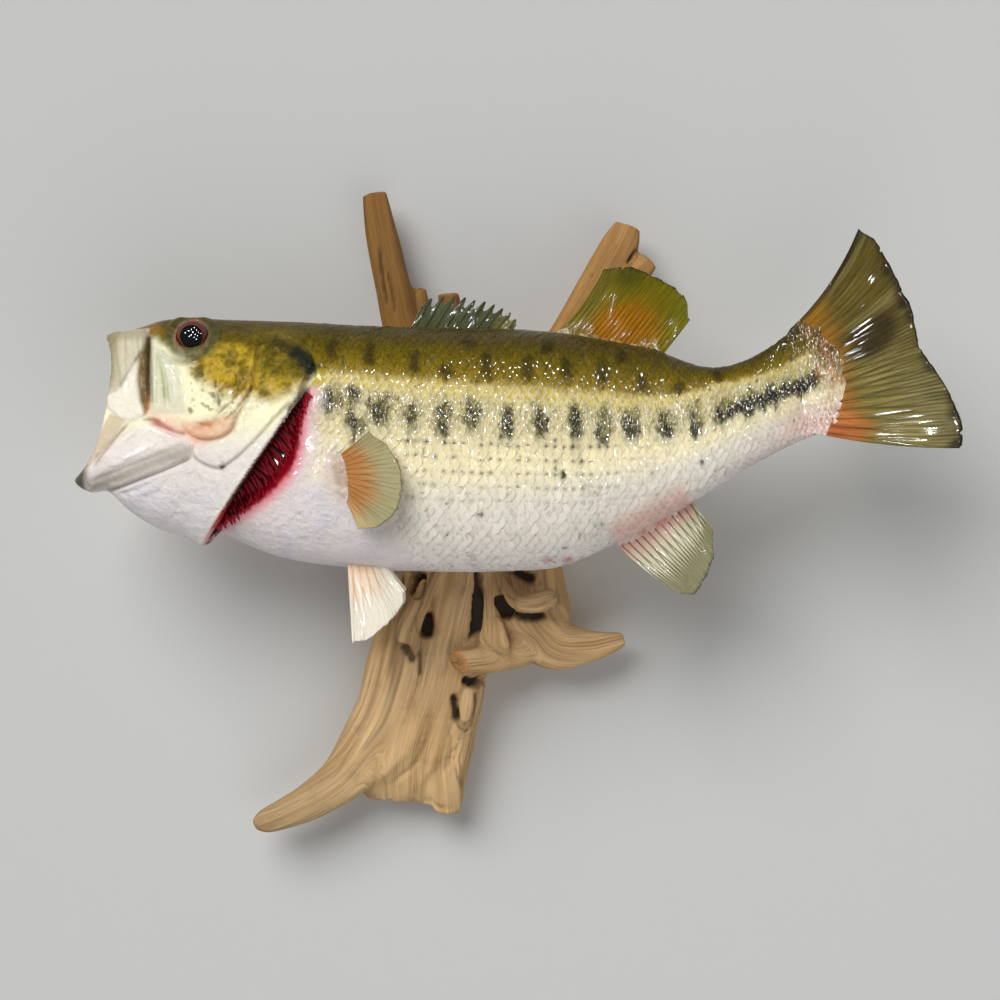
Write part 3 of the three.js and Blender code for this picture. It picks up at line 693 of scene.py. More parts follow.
# The dark marks of the side stripe: x, z of the middle, half width, half height, lean in degrees.
STRIPE = (
    (-91, 29, 5.5, 9.5, 15), (-77, 31, 4.5, 7, 0), (-76, 16, 4.2, 11, -8), (-60, 23, 6.5, 11, 6),
    (-40.5, 18, 4.2, 11, 0), (-20.5, 18.5, 4.4, 12.5, 4), (-2, 20, 4.4, 11.5, -4),
    (18.9, 13.7, 4.2, 12.5, 3), (39.8, 15.6, 4.0, 11.5, 0), (60.7, 12.0, 4.0, 14, -3),
    (78.6, 12.5, 4.6, 12, 8), (95.2, 12.6, 5.0, 10.5, 0), (117.3, 11.5, 6.5, 9, 14),
    (135.8, 15.6, 4.4, 9.5, -6), (150.8, 19.8, 4.0, 8.0, -8), (158.5, 24.2, 3.6, 6.0, 0),
    (167.7, 25.0, 3.8, 7.5, -6), (175.3, 28.9, 4.2, 6.0, 0), (184.3, 31.6, 4.4, 8.0, -8),
    (193, 36.3, 4.2, 5.0, 0), (200.5, 38.3, 4.0, 4.5, 0), (209.5, 41.5, 4.6, 5.6, 20),
)
# Fainter marks on the back.
BACK_MARKS = (
    (-66, 57, 4, 9), (-38, 52, 4, 9), (-18.6, 45, 4.5, 6), (6.6, 50, 4, 11), (31, 49, 4.5, 10),
    (56, 49, 4.5, 10), (78, 46, 4, 9), (103, 38.5, 5, 7), (125, 36.5, 4.5, 5), (150, 44, 4, 5),
    (-90, 62, 5, 7), (-5, 64, 5, 5), (44, 62, 5, 5), (90, 56, 4, 5),
)


def pigment(colour):
    """A paint by its name in the sidebar, or a colour given in display steps."""
    if isinstance(colour, str):
        return np.array(getattr(bpy.context.scene.bass_paint, colour))
    return tone(*colour)


def airbrushed(coat, amount, colour):
    return coat + (colour - coat) * np.clip(amount, 0, 1)[:, None]


class Coat:
    """Paint under way, with a colour for each place. It starts as one colour or as a whole coat."""

    def __init__(self, places, start):
        whole = isinstance(start, np.ndarray)
        self.paint = start if whole else np.tile(pigment(start), (len(places), 1))

    def spray(self, amount, colour, shade=1.0):
        self.paint = airbrushed(self.paint, amount, pigment(colour) * shade)


BACK_LINE = np.vstack((HEAD_ROWS[:6, :2], TRUNK_ROWS[1:, :2], ((240, 90),)))
BELLY_LINE = np.vstack((HEAD_ROWS[:6, 2:4], TRUNK_ROWS[2:, 2:4], ((240, 14),)))


def body_markings(places):
    """The painted colours of the fish's sides: olive over gold over cream over white, and a stripe."""
    x, _, z = places.T
    ragged = layered_cloud(places, (5.0, 5.0, 9.0), 2, 5) * 1.8 + cloud(places, (2.2, 2.2, 3.5), 8) * 0.9
    back = run_through(x, BACK_LINE)
    belly = run_through(x, BELLY_LINE)
    edge = run_through(x, BACK_EDGE)
    line = run_through(x, LATERAL_LINE)
    above = (z + ragged - edge) / np.maximum(back - edge, 8)
    below = (line - z - ragged * 0.7) / np.maximum(line - belly, 10)
    coat = Coat(places, "white")
    spray = coat.spray
    spray(ease(below, 0.72, 1.0), "belly")
    spray(1 - ease(below, 0.28, 0.62), "cream")
    patchy = layered_cloud(places, (4.0, 4.0, 8.0), 3, 17)
    spray((1 - ease(below + 0.1 * patchy, 0.0, 0.32)) * (0.74 + 0.4 * patchy), "silver")
    spray(ease(above, -0.36, -0.06) * 0.95, "gold")
    spray(ease(above, -0.1, 0.17), "olive_gold")
    spray(ease(above, 0.16, 0.55), "olive")
    spray(ease(above, 0.45, 0.9), "olive_brown")
    fine = cloud(places, (3.2, 3.2, 2.4), 11)
    streaks = layered_cloud(places, (2.2, 2.2, 5.0), 3, 12)
    spray(ease(above, 0.05, 0.35) * ease(streaks, -0.1, 0.7) * 0.45, "olive_brown")
    broken = layered_cloud(places, (2.4, 2.4, 6.5), 3, 21)
    for mx, mz, wide, tall, lean in STRIPE:
        mark = spot(x + ragged * 1.3, z + ragged, (mx, mz), (wide * 1.35, tall * 1.15), -lean)
        spray(ease(mark + broken * 0.25, 0.05, 0.7) * 0.5, (112, 108, 62))
        spray(ease(mark + broken * 0.7, 0.34, 0.95) * 0.88, "black_green")
    tail_stripe = ease(x, 140, 158) * (1 - ease(x, 203, 214)) * np.exp(-((z - line + 2) / 5.5) ** 2)
    spray(ease(tail_stripe + broken * 0.6, 0.35, 0.9) * 0.85, "black_green")
    for mx, mz, wide, tall in BACK_MARKS:
        mark = spot(x + ragged, z, (mx, mz), (wide * 1.1, tall * 1.15))
        spray(ease(mark + broken * 0.35, 0.2, 0.9) * 0.8, "olive_brown", 0.4)
    # the blush over the anal fin's root, under the tail and round the vent
    spray(stroke(x, z, ((80, -58), (108, -43), (136, -27)), 8, 0.15) * 0.6, "pink")
    spray(spot(x, z, (206, 16), (14, 10)) * 0.45, "pink")
    spray(ease(x, 150, 205) * ease(below, 0.3, 0.9) * 0.25, "pink")
    spray(ease(below, 0.5, 0.95) * (0.5 + 0.5 * fine) * 0.12, "pink")
    for pit in VENT:
        spray(spot(x, z, pit, (4.0, 2.2)) * 0.8, "crimson")
    # the shoulder: a red fade from the gills, and a bare pale patch round the pectoral fin
    past = to_line(x, z, rounded(SHOULDER))[0] * np.where(within(x, z, GILL_WINDOW) > 0, -1, 1)
    lower = 1 - ease(z, 30, 40)
    bare = (1 - scaled_share(x, z)) * lower
    spray(bare * 0.85, (226, 218, 218))
    spray(bare * ease(cloud(places, (12, 12, 20), 77), 0.0, 0.7) * 0.5, (204, 202, 214))
    spray((1 - ease(past, 6, 16)) * lower * 0.6, (236, 212, 208))
    spray((1 - ease(past, 1.5, 8.5)) * lower * 0.75, (226, 120, 134))
    spray((1 - ease(past + cloud(places, 3.0, 4) * 1.2, -1.5, 3.0)) * lower, "crimson")
    spray((1 - ease(past, -10, -3)) * lower, "maroon")
    spray(ease(spot(x, z, (-86, -17), (10, 20), 8), 0.1, 0.7) * 0.7, (226, 206, 186))
    spray(ease(spot(x, z, (-82.5, -17), (6.5, 14), 8) + 0.3 * fine, 0.0, 1.0) * 0.55, (158, 118, 92))
    # painted shade darkens the tail's root
    return coat.paint * (1 - 0.2 * ease(x, 120, 185))[:, None]


# Patches of colour on the side of the head, as outlines in x, z.
YELLOW_PATCH = ((-178, 60), (-175, 47), (-165, 37), (-150, 30), (-138, 31), (-124, 29), (-104, 40),
                (-98, 50), (-104, 66), (-134, 72), (-165, 76))
SPECKLED = ((-180, 58), (-176, 24), (-150, 16), (-136, 34), (-140, 50), (-164, 60))
COVER_PATCH = ((-135, 70), (-136, 50), (-126, 44), (-112, 40), (-100, 44), (-104, 66))
BRIGHT_PATCH = ((-134, 62), (-135, 48), (-126, 42), (-114, 42), (-116, 56), (-126, 64))
UPPER_JAW_PATCH = ((-232, 74), (-204.4, 74), (-203.2, 45), (-202.6, 27), (-205, 18.6), (-213.7, 15.6),
                   (-222, 18), (-230, 24))
JAW_FRONT = ((-233, 74), (-206, 74), (-206, 64), (-214, 49), (-222, 35), (-233, 30))
CHEEK_FOOT = ((-181, 16), (-168, 14), (-156, 17), (-147, 22), (-148, 9), (-160, 3), (-172, 3), (-180, 7))
JAW_PATCH = ((-176, 6), (-196, 12), (-206, 14.5), (-232, -4), (-250, -14), (-254, -30), (-240, -28.4),
             (-223.6, -25.4), (-190.9, -13.4), (-175.4, -7))
MOUTH_WEB = ((-227, 21), (-217, 16), (-229, 0), (-240, -12), (-246, -14))
CHEEK_REAR = ((-134.7, 66), (-135.9, 51), (-137.8, 38), (-140.6, 29.9), (-145.8, 20.1), (-150.1, 10.2),
              (-157.5, 5.3), (-166.8, 4.0), (-175.4, 5.9))
# Dark blotches on the cheek and the gill cover: middle, reach and strength.
CHEEK_MARKS = (((-171, 46), (4, 8), 0.5), ((-152, 56), (5, 7), 0.6), ((-146, 44), (4, 6), 0.45),
               ((-160, 30), (3, 5), 0.35), ((-128, 58), (4, 8), 0.5), ((-176, 22), (1.8, 2.6), 0.75),
               ((-161, 38), (1.6, 2.6), 0.7), ((-158, 27), (1.8, 2.2), 0.7))


def head_markings(places, coat):
    """The head's own colours, over the sides' markings."""
    x, y, z = places.T
    blotch = layered_cloud(places, 7.0, 3, 31)
    fine = cloud(places, 2.6, 41)
    ragged = blotch * 2.4
    head = Coat(places, (255, 248, 206))
    spray = head.spray

    def line(points, half_width, strength, colour, area=1.0, ends=0.15):
        spray(area * stroke(x, z, points, half_width, ends) * strength, colour)

    spray(1 - ease(z + ragged, -12, 24), (232, 224, 218))
    spray(ease(cloud(places, (30, 30, 18), 71), -0.2, 0.7) * ease(-z, -20, 10) * 0.5, (216, 212, 220))
    # the yellow cheek and gill cover, blotched with olive
    yellow = plate(x + ragged, z + ragged, YELLOW_PATCH, 12)
    streaky = layered_cloud(np.column_stack((x * 0.8 + z * 0.6, y, z * 0.8 - x * 0.6)), (7, 7, 3.0), 3, 33)
    spray(yellow * (0.95 + 0.05 * fine), "yellow")
    spray(yellow * ease(blotch + 0.5 * streaky, -0.15, 0.55) * 0.8, "olive")
    spray(yellow * ease(streaky + 0.4 * blotch, 0.2, 0.8) * 0.6, (58, 50, 8))
    spray(yellow * ease(-blotch + 0.3 * fine, 0.3, 0.8) * 0.4, (210, 180, 40))
    specks = ease(cloud(places, (1.5, 1.5, 2.0), 44), 0.35, 0.7)
    spray(plate(x, z, SPECKLED, 8) * specks * 0.6, (92, 84, 40))
    spray(plate(x + ragged, z, COVER_PATCH, 7) * (0.7 + 0.3 * ease(streaky, -0.3, 0.5)), (84, 74, 8))
    spray(plate(x + ragged * 0.5, z, BRIGHT_PATCH, 5) * (0.3 + 0.35 * fine), (140, 124, 4))
    rear = stroke(x, z, ((-140, 71), (-131.6, 68), (-113.8, 61.4), (-103, 53), (-100.5, 44)), 4.6, 0.1)
    spray(ease(rear + 0.3 * fine, 0.2, 0.8) * 0.9, (48, 44, 16))
    for middle, reach, strength in CHEEK_MARKS:
        mark = spot(x + ragged * 0.5, z, middle, reach)
        spray(ease(mark + 0.3 * fine, 0.25, 0.8) * strength, "olive_brown")
    # the olive top
    crown = np.interp(x, (-240, -200, -180, -160, -120, -96), (66, 67, 58, 61, 66, 56))
    spray(ease(z + ragged * 1.2, crown - 4, crown + 5), "olive")
    spray(ease(z + ragged, crown + 3, crown + 13) * 0.9, "olive_brown")
    # greenish bone round the eye, and a pale rim, brightened with painted light on its upper front side
    around = np.hypot(x - EYE["x"], z - EYE["z"])
    ring = 1 - ease(around, 13, 19)
    spray(ring * ease(80 - z, 0, 10) * (0.85 + 0.15 * fine), (84, 84, 52))
    key_lit_rim = ease((EYE["x"] - x) + (z - EYE["z"]), -6, 10)
    spray(np.exp(-((around - 10.6) / 1.0) ** 2) * (0.2 + 0.5 * key_lit_rim), (180, 130, 104))
    # painted shade along the crease under the eye
    line(UNDER_EYE, 2.2, 0.45, "olive_brown")
    # the snout's brown spot, the upper jaw's plate and the folds behind it
    spray(spot(x, z, (-203, 74), (7, 4)) * 0.8, (150, 104, 46))
    maxilla = plate(x, z, UPPER_JAW_PATCH, 1.2)
    spray(maxilla, (246, 238, 218))
    # painted shade: the plate's front strip, beyond its fold, is darkened olive
    spray(maxilla * (1 - ease(x, -229, -219.5)) * ease(z, 30, 46) * 0.85, (112, 98, 50))
    combed = cloud(np.column_stack((x + z * 0.16, 0 * x, z * 0.05)), 1.1, 23)
    spray(maxilla * ease(combed, 0.0, 0.7) * ease(z, 28, 44) * 0.4, (150, 136, 92))
    spray(maxilla * ease(z, 64, 70) * 0.5, (110, 98, 50))
    # painted shade over the plate's front beyond its fold, and a darker line along the fold
    spray(maxilla * plate(x, z, JAW_FRONT, 1.5) * 0.45, (166, 154, 112))
    line(((-206.4, 62), (-214.4, 48), (-221.6, 35)), 1.1, 0.6, (120, 104, 64), maxilla)
    line(((-209, 52), (-216, 36), (-218, 24)), 4, 0.6, (246, 240, 222), maxilla)
    # painted shade in the groove behind the plate, and a near-black line of painted shadow along its floor
    spray(plate(x, z, GROOVE, 3.2) * 0.95, (112, 88, 30))
    line(((-204, 70), (-203.4, 52), (-202.4, 38), (-202.0, 26)), 1.7, 1.0, (60, 42, 12), ends=0.05)
    line(((-202, 34), (-203, 24), (-206, 19)), 2.0, 0.5, "orange")
    folds = plate(x, z, ((-202, 66), (-196, 62), (-182, 46), (-179, 20), (-202, 20)), 3)
    spray(folds * 0.75, (218, 214, 190))
    line(((-198, 60), (-193, 42), (-191, 26)), 2.2, 0.6, (176, 186, 130), folds)
    line(((-196, 60), (-189, 42), (-185, 28)), 1.8, 0.5, (238, 240, 226), folds)
    # pink and orange at the foot of the cheek and the corner of the mouth
    line(((-206, 17), (-193, 14), (-184, 10), (-174, 7), (-160, 8)), 6.5, 0.6, (236, 170, 158))
    line(((-202, 16), (-193, 12.5), (-186, 8), (-178, 6.5)), 2.4, 0.6, (206, 96, 90))
    foot = plate(x + ragged * 0.6, z + ragged * 0.4, CHEEK_FOOT, 5)
    spray(foot * (0.6 + 0.2 * fine), (232, 172, 132))
    warm = stroke(x + ragged * 0.4, z, ((-178, 12), (-169, 13.5), (-160, 16), (-152, 21)), 2.6, 0.4)
    spray(warm * (0.6 + 0.3 * fine), (190, 124, 66))
    # painted shade: brown lines along the cheek's two carved creases
    line(((-137, 50), (-143, 37), (-151, 27), (-161, 18)), 0.8, 0.6, (150, 96, 44))
    line(((-135, 42), (-142, 30), (-149, 21), (-157, 14.5)), 0.8, 0.6, (150, 96, 44))
    # lines of shadow painted into the creases, and a painted shadow in the notch at the foot of the cover's
    # plate
    for points in (CHEEK_REAR, COVER_FOOT[:-1], MOUTH_FOLD, JAW_FOOT):
        line(points, 0.9, 0.45, (128, 96, 62), ends=0.06)
    spray(spot(x, z, (-156, -13), (1.4, 1.6)) * 0.9, (40, 34, 24))
    # the jaw: white and pink above, a grey-tan band of painted shade below, an olive-black chin
    jaw = plate(x, z, JAW_PATCH, 1.2)
    spray(jaw * 0.6, (248, 236, 230))
    line(((-172, -2), (-192, -7), (-215, -16), (-244, -26)), 5.2, 0.8, "grey_tan", jaw, 0.05)
    spray(plate(x, z, MOUTH_WEB, 1.6) * 0.7, (206, 184, 150))
    # painted shade in the crease along the lower jaw's upper rim
    line(((-214, 15), (-222, 7), (-231, -4), (-238, -12)), 1.1, 0.6, (150, 108, 76))
    spray((1 - ease(x + ragged * 0.4, -247, -239.5)) * (1 - ease(z, -10, -2)) * 0.95, (64, 62, 20))
    # the ear spot, blue-black and streaked
    streaked = x + cloud(places, (6, 6, 1.6), 51) * 2.2
    ear = stroke(streaked, z, ((-118, 60), (-108.5, 56), (-103.5, 50), (-101.5, 42)), 5.2, 0.2)
    spray(ease(ear, 0.25, 0.8) * 0.9, (28, 34, 26))
    # the membrane's bright rim along its free edge
    rim = to_line(x, z, ((-101.4, 38), (-170.6, -59.5)))[0]
    spray((1 - ease(rim, 1.5, 5)) * (1 - ease(z, 30, 38)) * 0.8, (246, 240, 226))
    on_head = (1 - ease(x, -100, -97)) * (1 - gill_side(x, z))
    return airbrushed(coat, on_head, head.paint)


def gill_side(x, z):
    """0 ahead of the gill cover's edge and 1 behind it."""
    return 1 - ease(within(x, z, HEAD_SIDE), -0.6, 0.6)


def skin_colours(places, facings):
    x, y, _ = places.T
    side = np.sign(off_middle(x, y))
    coat = head_markings(places, body_markings(places))
    # inside the mouth and behind the gill covers
    inner = ease(-facings[:, 1] * side, 0.02, 0.35) * (1 - ease(x, -112, -100)) * ease(x, -250, -240)
    folds = layered_cloud(places, (40, 6, 5), 3, 19)
    lining = Coat(places, "mouth_pink")
    spray = lining.spray
    spray(ease(folds, -0.1, 0.7) * 0.5, (196, 120, 104))
    # painted shade: the lining darkens to deep red, then near black, deeper into the mouth and behind the
    # gill covers
    spray(ease(x + 6 * folds, -222, -178) * 0.85, (140, 62, 54))
    spray(ease(x + 6 * folds, -196, -158), (52, 14, 12))
    teeth = (1 - ease(x, -236, -222)) * (0.6 + 0.4 * cloud(places, 1.6, 29))
    spray(teeth * 0.8, (238, 226, 208))
    return airbrushed(coat, inner, lining.paint)


def stripe_band(places):
    """How much of the stripe's sparkle a place has: it sets the painted glints and bright ticks in the
    scales' colour, and their bump.
    """
    x, y, z = places.T
    line = run_through(x, LATERAL_LINE)
    back = run_through(x, BACK_LINE)
    band = np.exp(-((z - line - 1) / (12 - 4 * ease(x, 120, 180))) ** 2)
    band = np.maximum(band, 0.8 * ease(x, 192, 206))
    fin_feet = ease(x, -56, -40) * (1 - ease(x, 112, 128)) * (1 - ease(back - z, 3, 7))
    fin_feet *= np.exp(-(off_middle(x, y) / 7) ** 2)
    return np.maximum(band, 0.7 * fin_feet) * ease(x, -104, -94)


def paleness(paint):
    return ease(paint @ np.array((0.3, 0.6, 0.1)), 0.13, 0.42)


def paint_skin(mesh):
    places = corners_of(mesh) / MM
    paint = skin_colours(places, facings_of(mesh))
    note(mesh, "paint", paint, "FLOAT_COLOR")
    note(mesh, "paleness", paleness(paint))
    note(mesh, "band", stripe_band(places))
    note(mesh, "cheek", plate(places[:, 0], places[:, 2], CHEEK, 8))


# ---- Finishes ---------------------------------------------------------------------------------

class Wire:
    """A value in a material. Sums, differences, products and powers of it become Math nodes."""

    def __init__(self, finish, socket):
        self.finish = finish
        self.socket = socket

    def math(self, operation, first, second):
        return self.finish.node("Math", {"operation": operation}, {0: first, 1: second})


for symbol, operation in (("add", "ADD"), ("sub", "SUBTRACT"), ("mul", "MULTIPLY"), ("pow", "POWER")):
    setattr(Wire, f"__{symbol}__", lambda self, other, how=operation: self.math(how, self, other))
    setattr(Wire, f"__r{symbol}__", lambda self, other, how=operation: self.math(how, other, self))


class Finish:
    """A material under way, with one method that makes any node."""

    def __init__(self, name):
        self.material = bpy.data.materials.new(name)
        self.material.use_nodes = True
        self.tree = self.material.node_tree
        self.shader = self.tree.nodes["Principled BSDF"]

    def plug(self, socket, value):
        if isinstance(value, Wire):
            self.tree.links.new(value.socket, socket)
        elif hasattr(socket.default_value, "__len__") and len(socket.default_value) == 4 and len(value) == 3:
            socket.default_value = (*value, 1)
        else:
            socket.default_value = value

    def node(self, kind, settings=None, sockets=None, out=0):
        made = self.tree.nodes.new("ShaderNode" + kind)
        for key, value in (settings or {}).items():
            setattr(made, key, value)
        for key, value in (sockets or {}).items():
            self.plug(made.inputs[key], value)
        return Wire(self, made.outputs[out])

    def here(self):
        return self.node("TexCoord", out="Object")

    def value(self, name):
        return self.node("Attribute", {"attribute_name": name}, out="Fac")

    def colour(self, name):
        return self.node("Attribute", {"attribute_name": name}, out="Color")

    def noise(self, place, scale, detail=2.0, rough=0.5):
        return self.node("TexNoise", sockets={"Vector": place, "Scale": scale, "Detail": detail,
                                              "Roughness": rough})

    def cells(self, place, scale):
        return self.node("TexVoronoi", sockets={"Vector": place, "Scale": scale})

    def stretched(self, place, scale):
        return self.node("Mapping", sockets={"Vector": place, "Scale": scale})

    def between(self, value, low, high, at_low=0.0, at_high=1.0):
        """A smooth step from at_low to at_high as the value goes from low to high."""
        return self.node("MapRange", {"interpolation_type": "SMOOTHSTEP"},
                         {"Value": value, "From Min": low, "From Max": high,
                          "To Min": at_low, "To Max": at_high})

    def mix(self, amount, first, second, how="MIX"):
        return self.node("Mix", {"data_type": "RGBA", "blend_type": how},
                         {0: amount, 6: first, 7: second}, out=2)

    def bump(self, height, depth, under=None):
        sockets = {"Height": height, "Distance": depth, "Strength": 1.0}
        if under:
            sockets["Normal"] = under
        return self.node("Bump", sockets=sockets)

    def painted(self, shade):
        """The paint, lighter or darker by the shade."""
        grey = self.node("CombineColor", sockets={0: shade, 1: shade, 2: shade})
        return self.mix(1.0, self.colour("paint"), grey, "MULTIPLY")

    def done(self, **sockets):
        for name, value in sockets.items():
            self.plug(self.shader.inputs[name.replace("_", " ").title().replace("Ior", "IOR")], value)
        return self.material


def skin_finish():
    f = Finish("lacquered_skin")
    here = f.here()
    pale = f.value("paleness")
    mottle = f.noise(here, 300, 4, 0.65)
    pores = f.noise(here, 1500, 3, 0.6)
    dark = f.between(mottle, 0.32, 0.66, 0.72 + 0.25 * pale, 1.25 - 0.22 * pale)
    base = f.painted(dark)
    cheek = f.value("cheek")
    small_scales = f.cells(f.stretched(here, (1, 1, 0.8)), 420)
    base = f.mix(cheek * f.between(small_scales, 0.0, 0.8, 0.30, 0.0), base, (0.03, 0.025, 0.004))
    rough = f.between(f.noise(here, 120, 3), 0.3, 0.7, 0.24, 0.45)
    relief = f.bump(small_scales * cheek, 0.0007)
    relief = f.bump(f.noise(here, 110, 4, 0.6), 0.0022, relief)
    relief = f.bump(f.noise(here, 260, 5, 0.65), 0.0010, relief)
    relief = f.bump(pores, 0.0002, relief)
    return f.done(base_color=base, roughness=rough, normal=relief, specular_ior_level=0.06,
                  coat_weight=0.28, coat_roughness=0.08, coat_ior=1.5)


def scale_finish():
    f = Finish("lacquered_scales")
    here = f.here()
    root = f.value("scale_along")
    across = f.value("scale_across")
    chance = f.value("scale_chance")
    pale = f.value("paleness")
    band = f.value("band")
    # short upright ticks of lighter and darker paint, strongest along the stripe, where the lighter ones are
    # painted glints
    ticks = f.noise(f.stretched(here, (1, 1, 0.3)), 900, 3, 0.62)
    shade = f.between(ticks, 0.36, 0.64, 0.74 - 0.22 * band + 0.19 * pale, 1.28 + 0.3 * band - 0.22 * pale)
    shade = shade * f.between(chance, 0.0, 1.0, 0.93, 1.07)
    base = f.painted(shade)
    # each scale is darker round its rim on the back, and lighter at its rim on the belly
    rim = f.between(root + across * across * 0.25, 0.5, 0.95)
    base = f.mix((1 - pale) * rim * 0.2, base, (0.012, 0.009, 0.001))
    base = f.mix(pale * rim * 0.3, base, (0.9, 0.86, 0.74))
    # painted shadow: on pale scales, the part near the root, just out from under the scale before, is
    # darkened
    base = f.mix(pale * f.between(root, 0.66, 0.4) * 0.4, base, (0.42, 0.36, 0.28))
    # painted glints: white flecks on the scales of the stripe, for the sparkle of their pearl paint
    glint_fleck = f.between(f.noise(f.stretched(here, (1, 1, 0.36)), 1250, 2, 0.5), 0.57, 0.66) * band
    base = f.mix(glint_fleck * 0.85, base, (0.93, 0.91, 0.82))
    grit = f.noise(here, 1100, 3, 0.7)
    rough = f.between(grit, 0.3, 0.7, 0.2, 0.4)
    relief = f.bump(ticks * (0.25 + 0.75 * band), 0.0010)
    relief = f.bump(grit * (1 - 0.6 * pale), 0.0004, relief)
    return f.done(base_color=base, roughness=rough, normal=relief, specular_ior_level=0.05,
                  coat_weight=0.36, coat_roughness=0.06, coat_ior=1.5)


# ---- Stage ------------------------------------------------------------------------------------

# The stage, in metres, degrees and watts.
CAMERA_PLACE = (0.0146, -1.8, -0.033)
LENS = 97.45
SENSOR_WIDTH = 36
WALL_HALF = 4.0
WALL_BEHIND = 0.0006  # the wall stands just clear of the mount's back
ROOM_TINT = (0.92, 0.96, 1.0, 1)
KEY_FROM, KEY_WIDTH = (-0.35, -0.75, 0.55), 40
FILL_FROM, FILL_WIDTH = (0.3, -0.75, -0.6), 60
FISH_PLACE = (0, -0.08, 0)
GLINT_SIZE = 0.055
BACK_LIGHT = {"place": (0.0, 2.2, 0.0), "target": (0, 0, 0), "size": 1.2, "power": 22}
GLINT_PLACES = ((-1.1, -1.2, 0.6), (-0.7, -1.4, 0.9), (-0.3, -1.5, 1.2), (0.1, -1.2, 1.5), (0.5, -1.5, 1.2),
                (0.8, -1.4, 0.8), (1.2, -1.2, 0.6), (-0.35, -1.9, 0.35), (0.3, -1.9, 0.5), (0.1, -1.8, 0.0),
                (-0.6, -1.7, 0.15), (0.7, -1.7, 0.2), (-0.1, -1.7, 0.75), (0.45, -1.7, -0.3))


def lamp(name, kind, strength, toward, axis):
    """A light that turns one of its axes the way given."""
    light = bpy.data.lights.new(name, kind)
    light.energy = strength
    stand = bpy.data.objects.new(name, light)
    stand.rotation_euler = Vector(toward).to_track_quat(axis, "Y").to_euler()
    bpy.context.scene.collection.objects.link(stand)
    return stand


def softbox(name, place, target, size, power):
    stand = lamp(name, "AREA", power, Vector(target) - Vector(place), "-Z")
    stand.location = place
    stand.data.shape = "SQUARE"
    stand.data.size = size
    return stand


def sunlight(name, toward, strength, width):
    """Even light from far off, from the given side, with a soft edge so many degrees wide."""
    stand = lamp(name, "SUN", strength, toward, "Z")
    stand.data.angle = math.radians(width)
    stand.visible_glossy = False


def wall_finish(colour):
    """Pale plaster, clear from behind, so that the back of the mount can be looked at too."""
    f = Finish("pale_wall")
    f.done(base_color=colour, roughness=0.9)
    behind = f.node("NewGeometry", out="Backfacing")
    clear = f.node("BsdfTransparent")
    both = f.node("MixShader", sockets={0: behind, 1: Wire(f, f.shader.outputs[0]), 2: clear})
    f.plug(f.tree.nodes["Material Output"].inputs[0], both)
    return f.material


def lay_stage(settings):
    bm = bmesh.new()
    bmesh.ops.create_grid(bm, x_segments=1, y_segments=1, size=WALL_HALF)
    bmesh.ops.rotate(bm, verts=bm.verts, matrix=Matrix.Rotation(math.pi / 2, 3, "X"))
    bmesh.ops.translate(bm, verts=bm.verts, vec=(0, WALL_BEHIND, 0))
    wall = placed(mesh_from(bm, "wall"), "wall")
    wall.data.materials.append(wall_finish(tuple(settings.wall)))
    wall.visible_shadow = False
    bpy.context.scene.view_settings.view_transform = "Standard"
    world = bpy.data.worlds.new("room")
    bpy.context.scene.world = world
    world.use_nodes = True
    tint, strength = world.node_tree.nodes["Background"].inputs[:2]
    tint.default_value = ROOM_TINT
    strength.default_value = settings.room
    sunlight("key", KEY_FROM, settings.key, KEY_WIDTH)
    sunlight("fill", FILL_FROM, settings.fill, FILL_WIDTH)
    for i, place in enumerate(GLINT_PLACES):
        # small lamps that only glint in the lacquer
        softbox(f"glint_{i}", place, FISH_PLACE, GLINT_SIZE, settings.glints).visible_diffuse = False
    softbox("behind", **BACK_LIGHT).visible_glossy = False
    camera = bpy.data.objects.new("camera", bpy.data.cameras.new("camera"))
    camera.data.lens = LENS
    camera.data.sensor_width = SENSOR_WIDTH
    camera.location = CAMERA_PLACE
    camera.rotation_euler = (math.pi / 2, 0, 0)
    bpy.context.scene.collection.objects.link(camera)
    bpy.context.scene.camera = camera


# ---- Scales -----------------------------------------------------------------------------------

SCALE_COLUMNS = 6
SCALE_ROWS = 8
# Lengthways pitch and height of a row of scales, in millimetres, at places along the fish.
PITCH_AT = ((-125, 3.6), (-95, 4.4), (-55, 5.6), (60, 5.6), (120, 4.8), (165, 4.2), (215, 3.6))
ROW_AT = ((-125, 3.2), (-95, 3.7), (-55, 4.3), (60, 4.3), (120, 3.7), (165, 3.2), (215, 2.8))
DOT_ROWS = (-5, -7, -9, -11, -13)
PATCH = 0.003


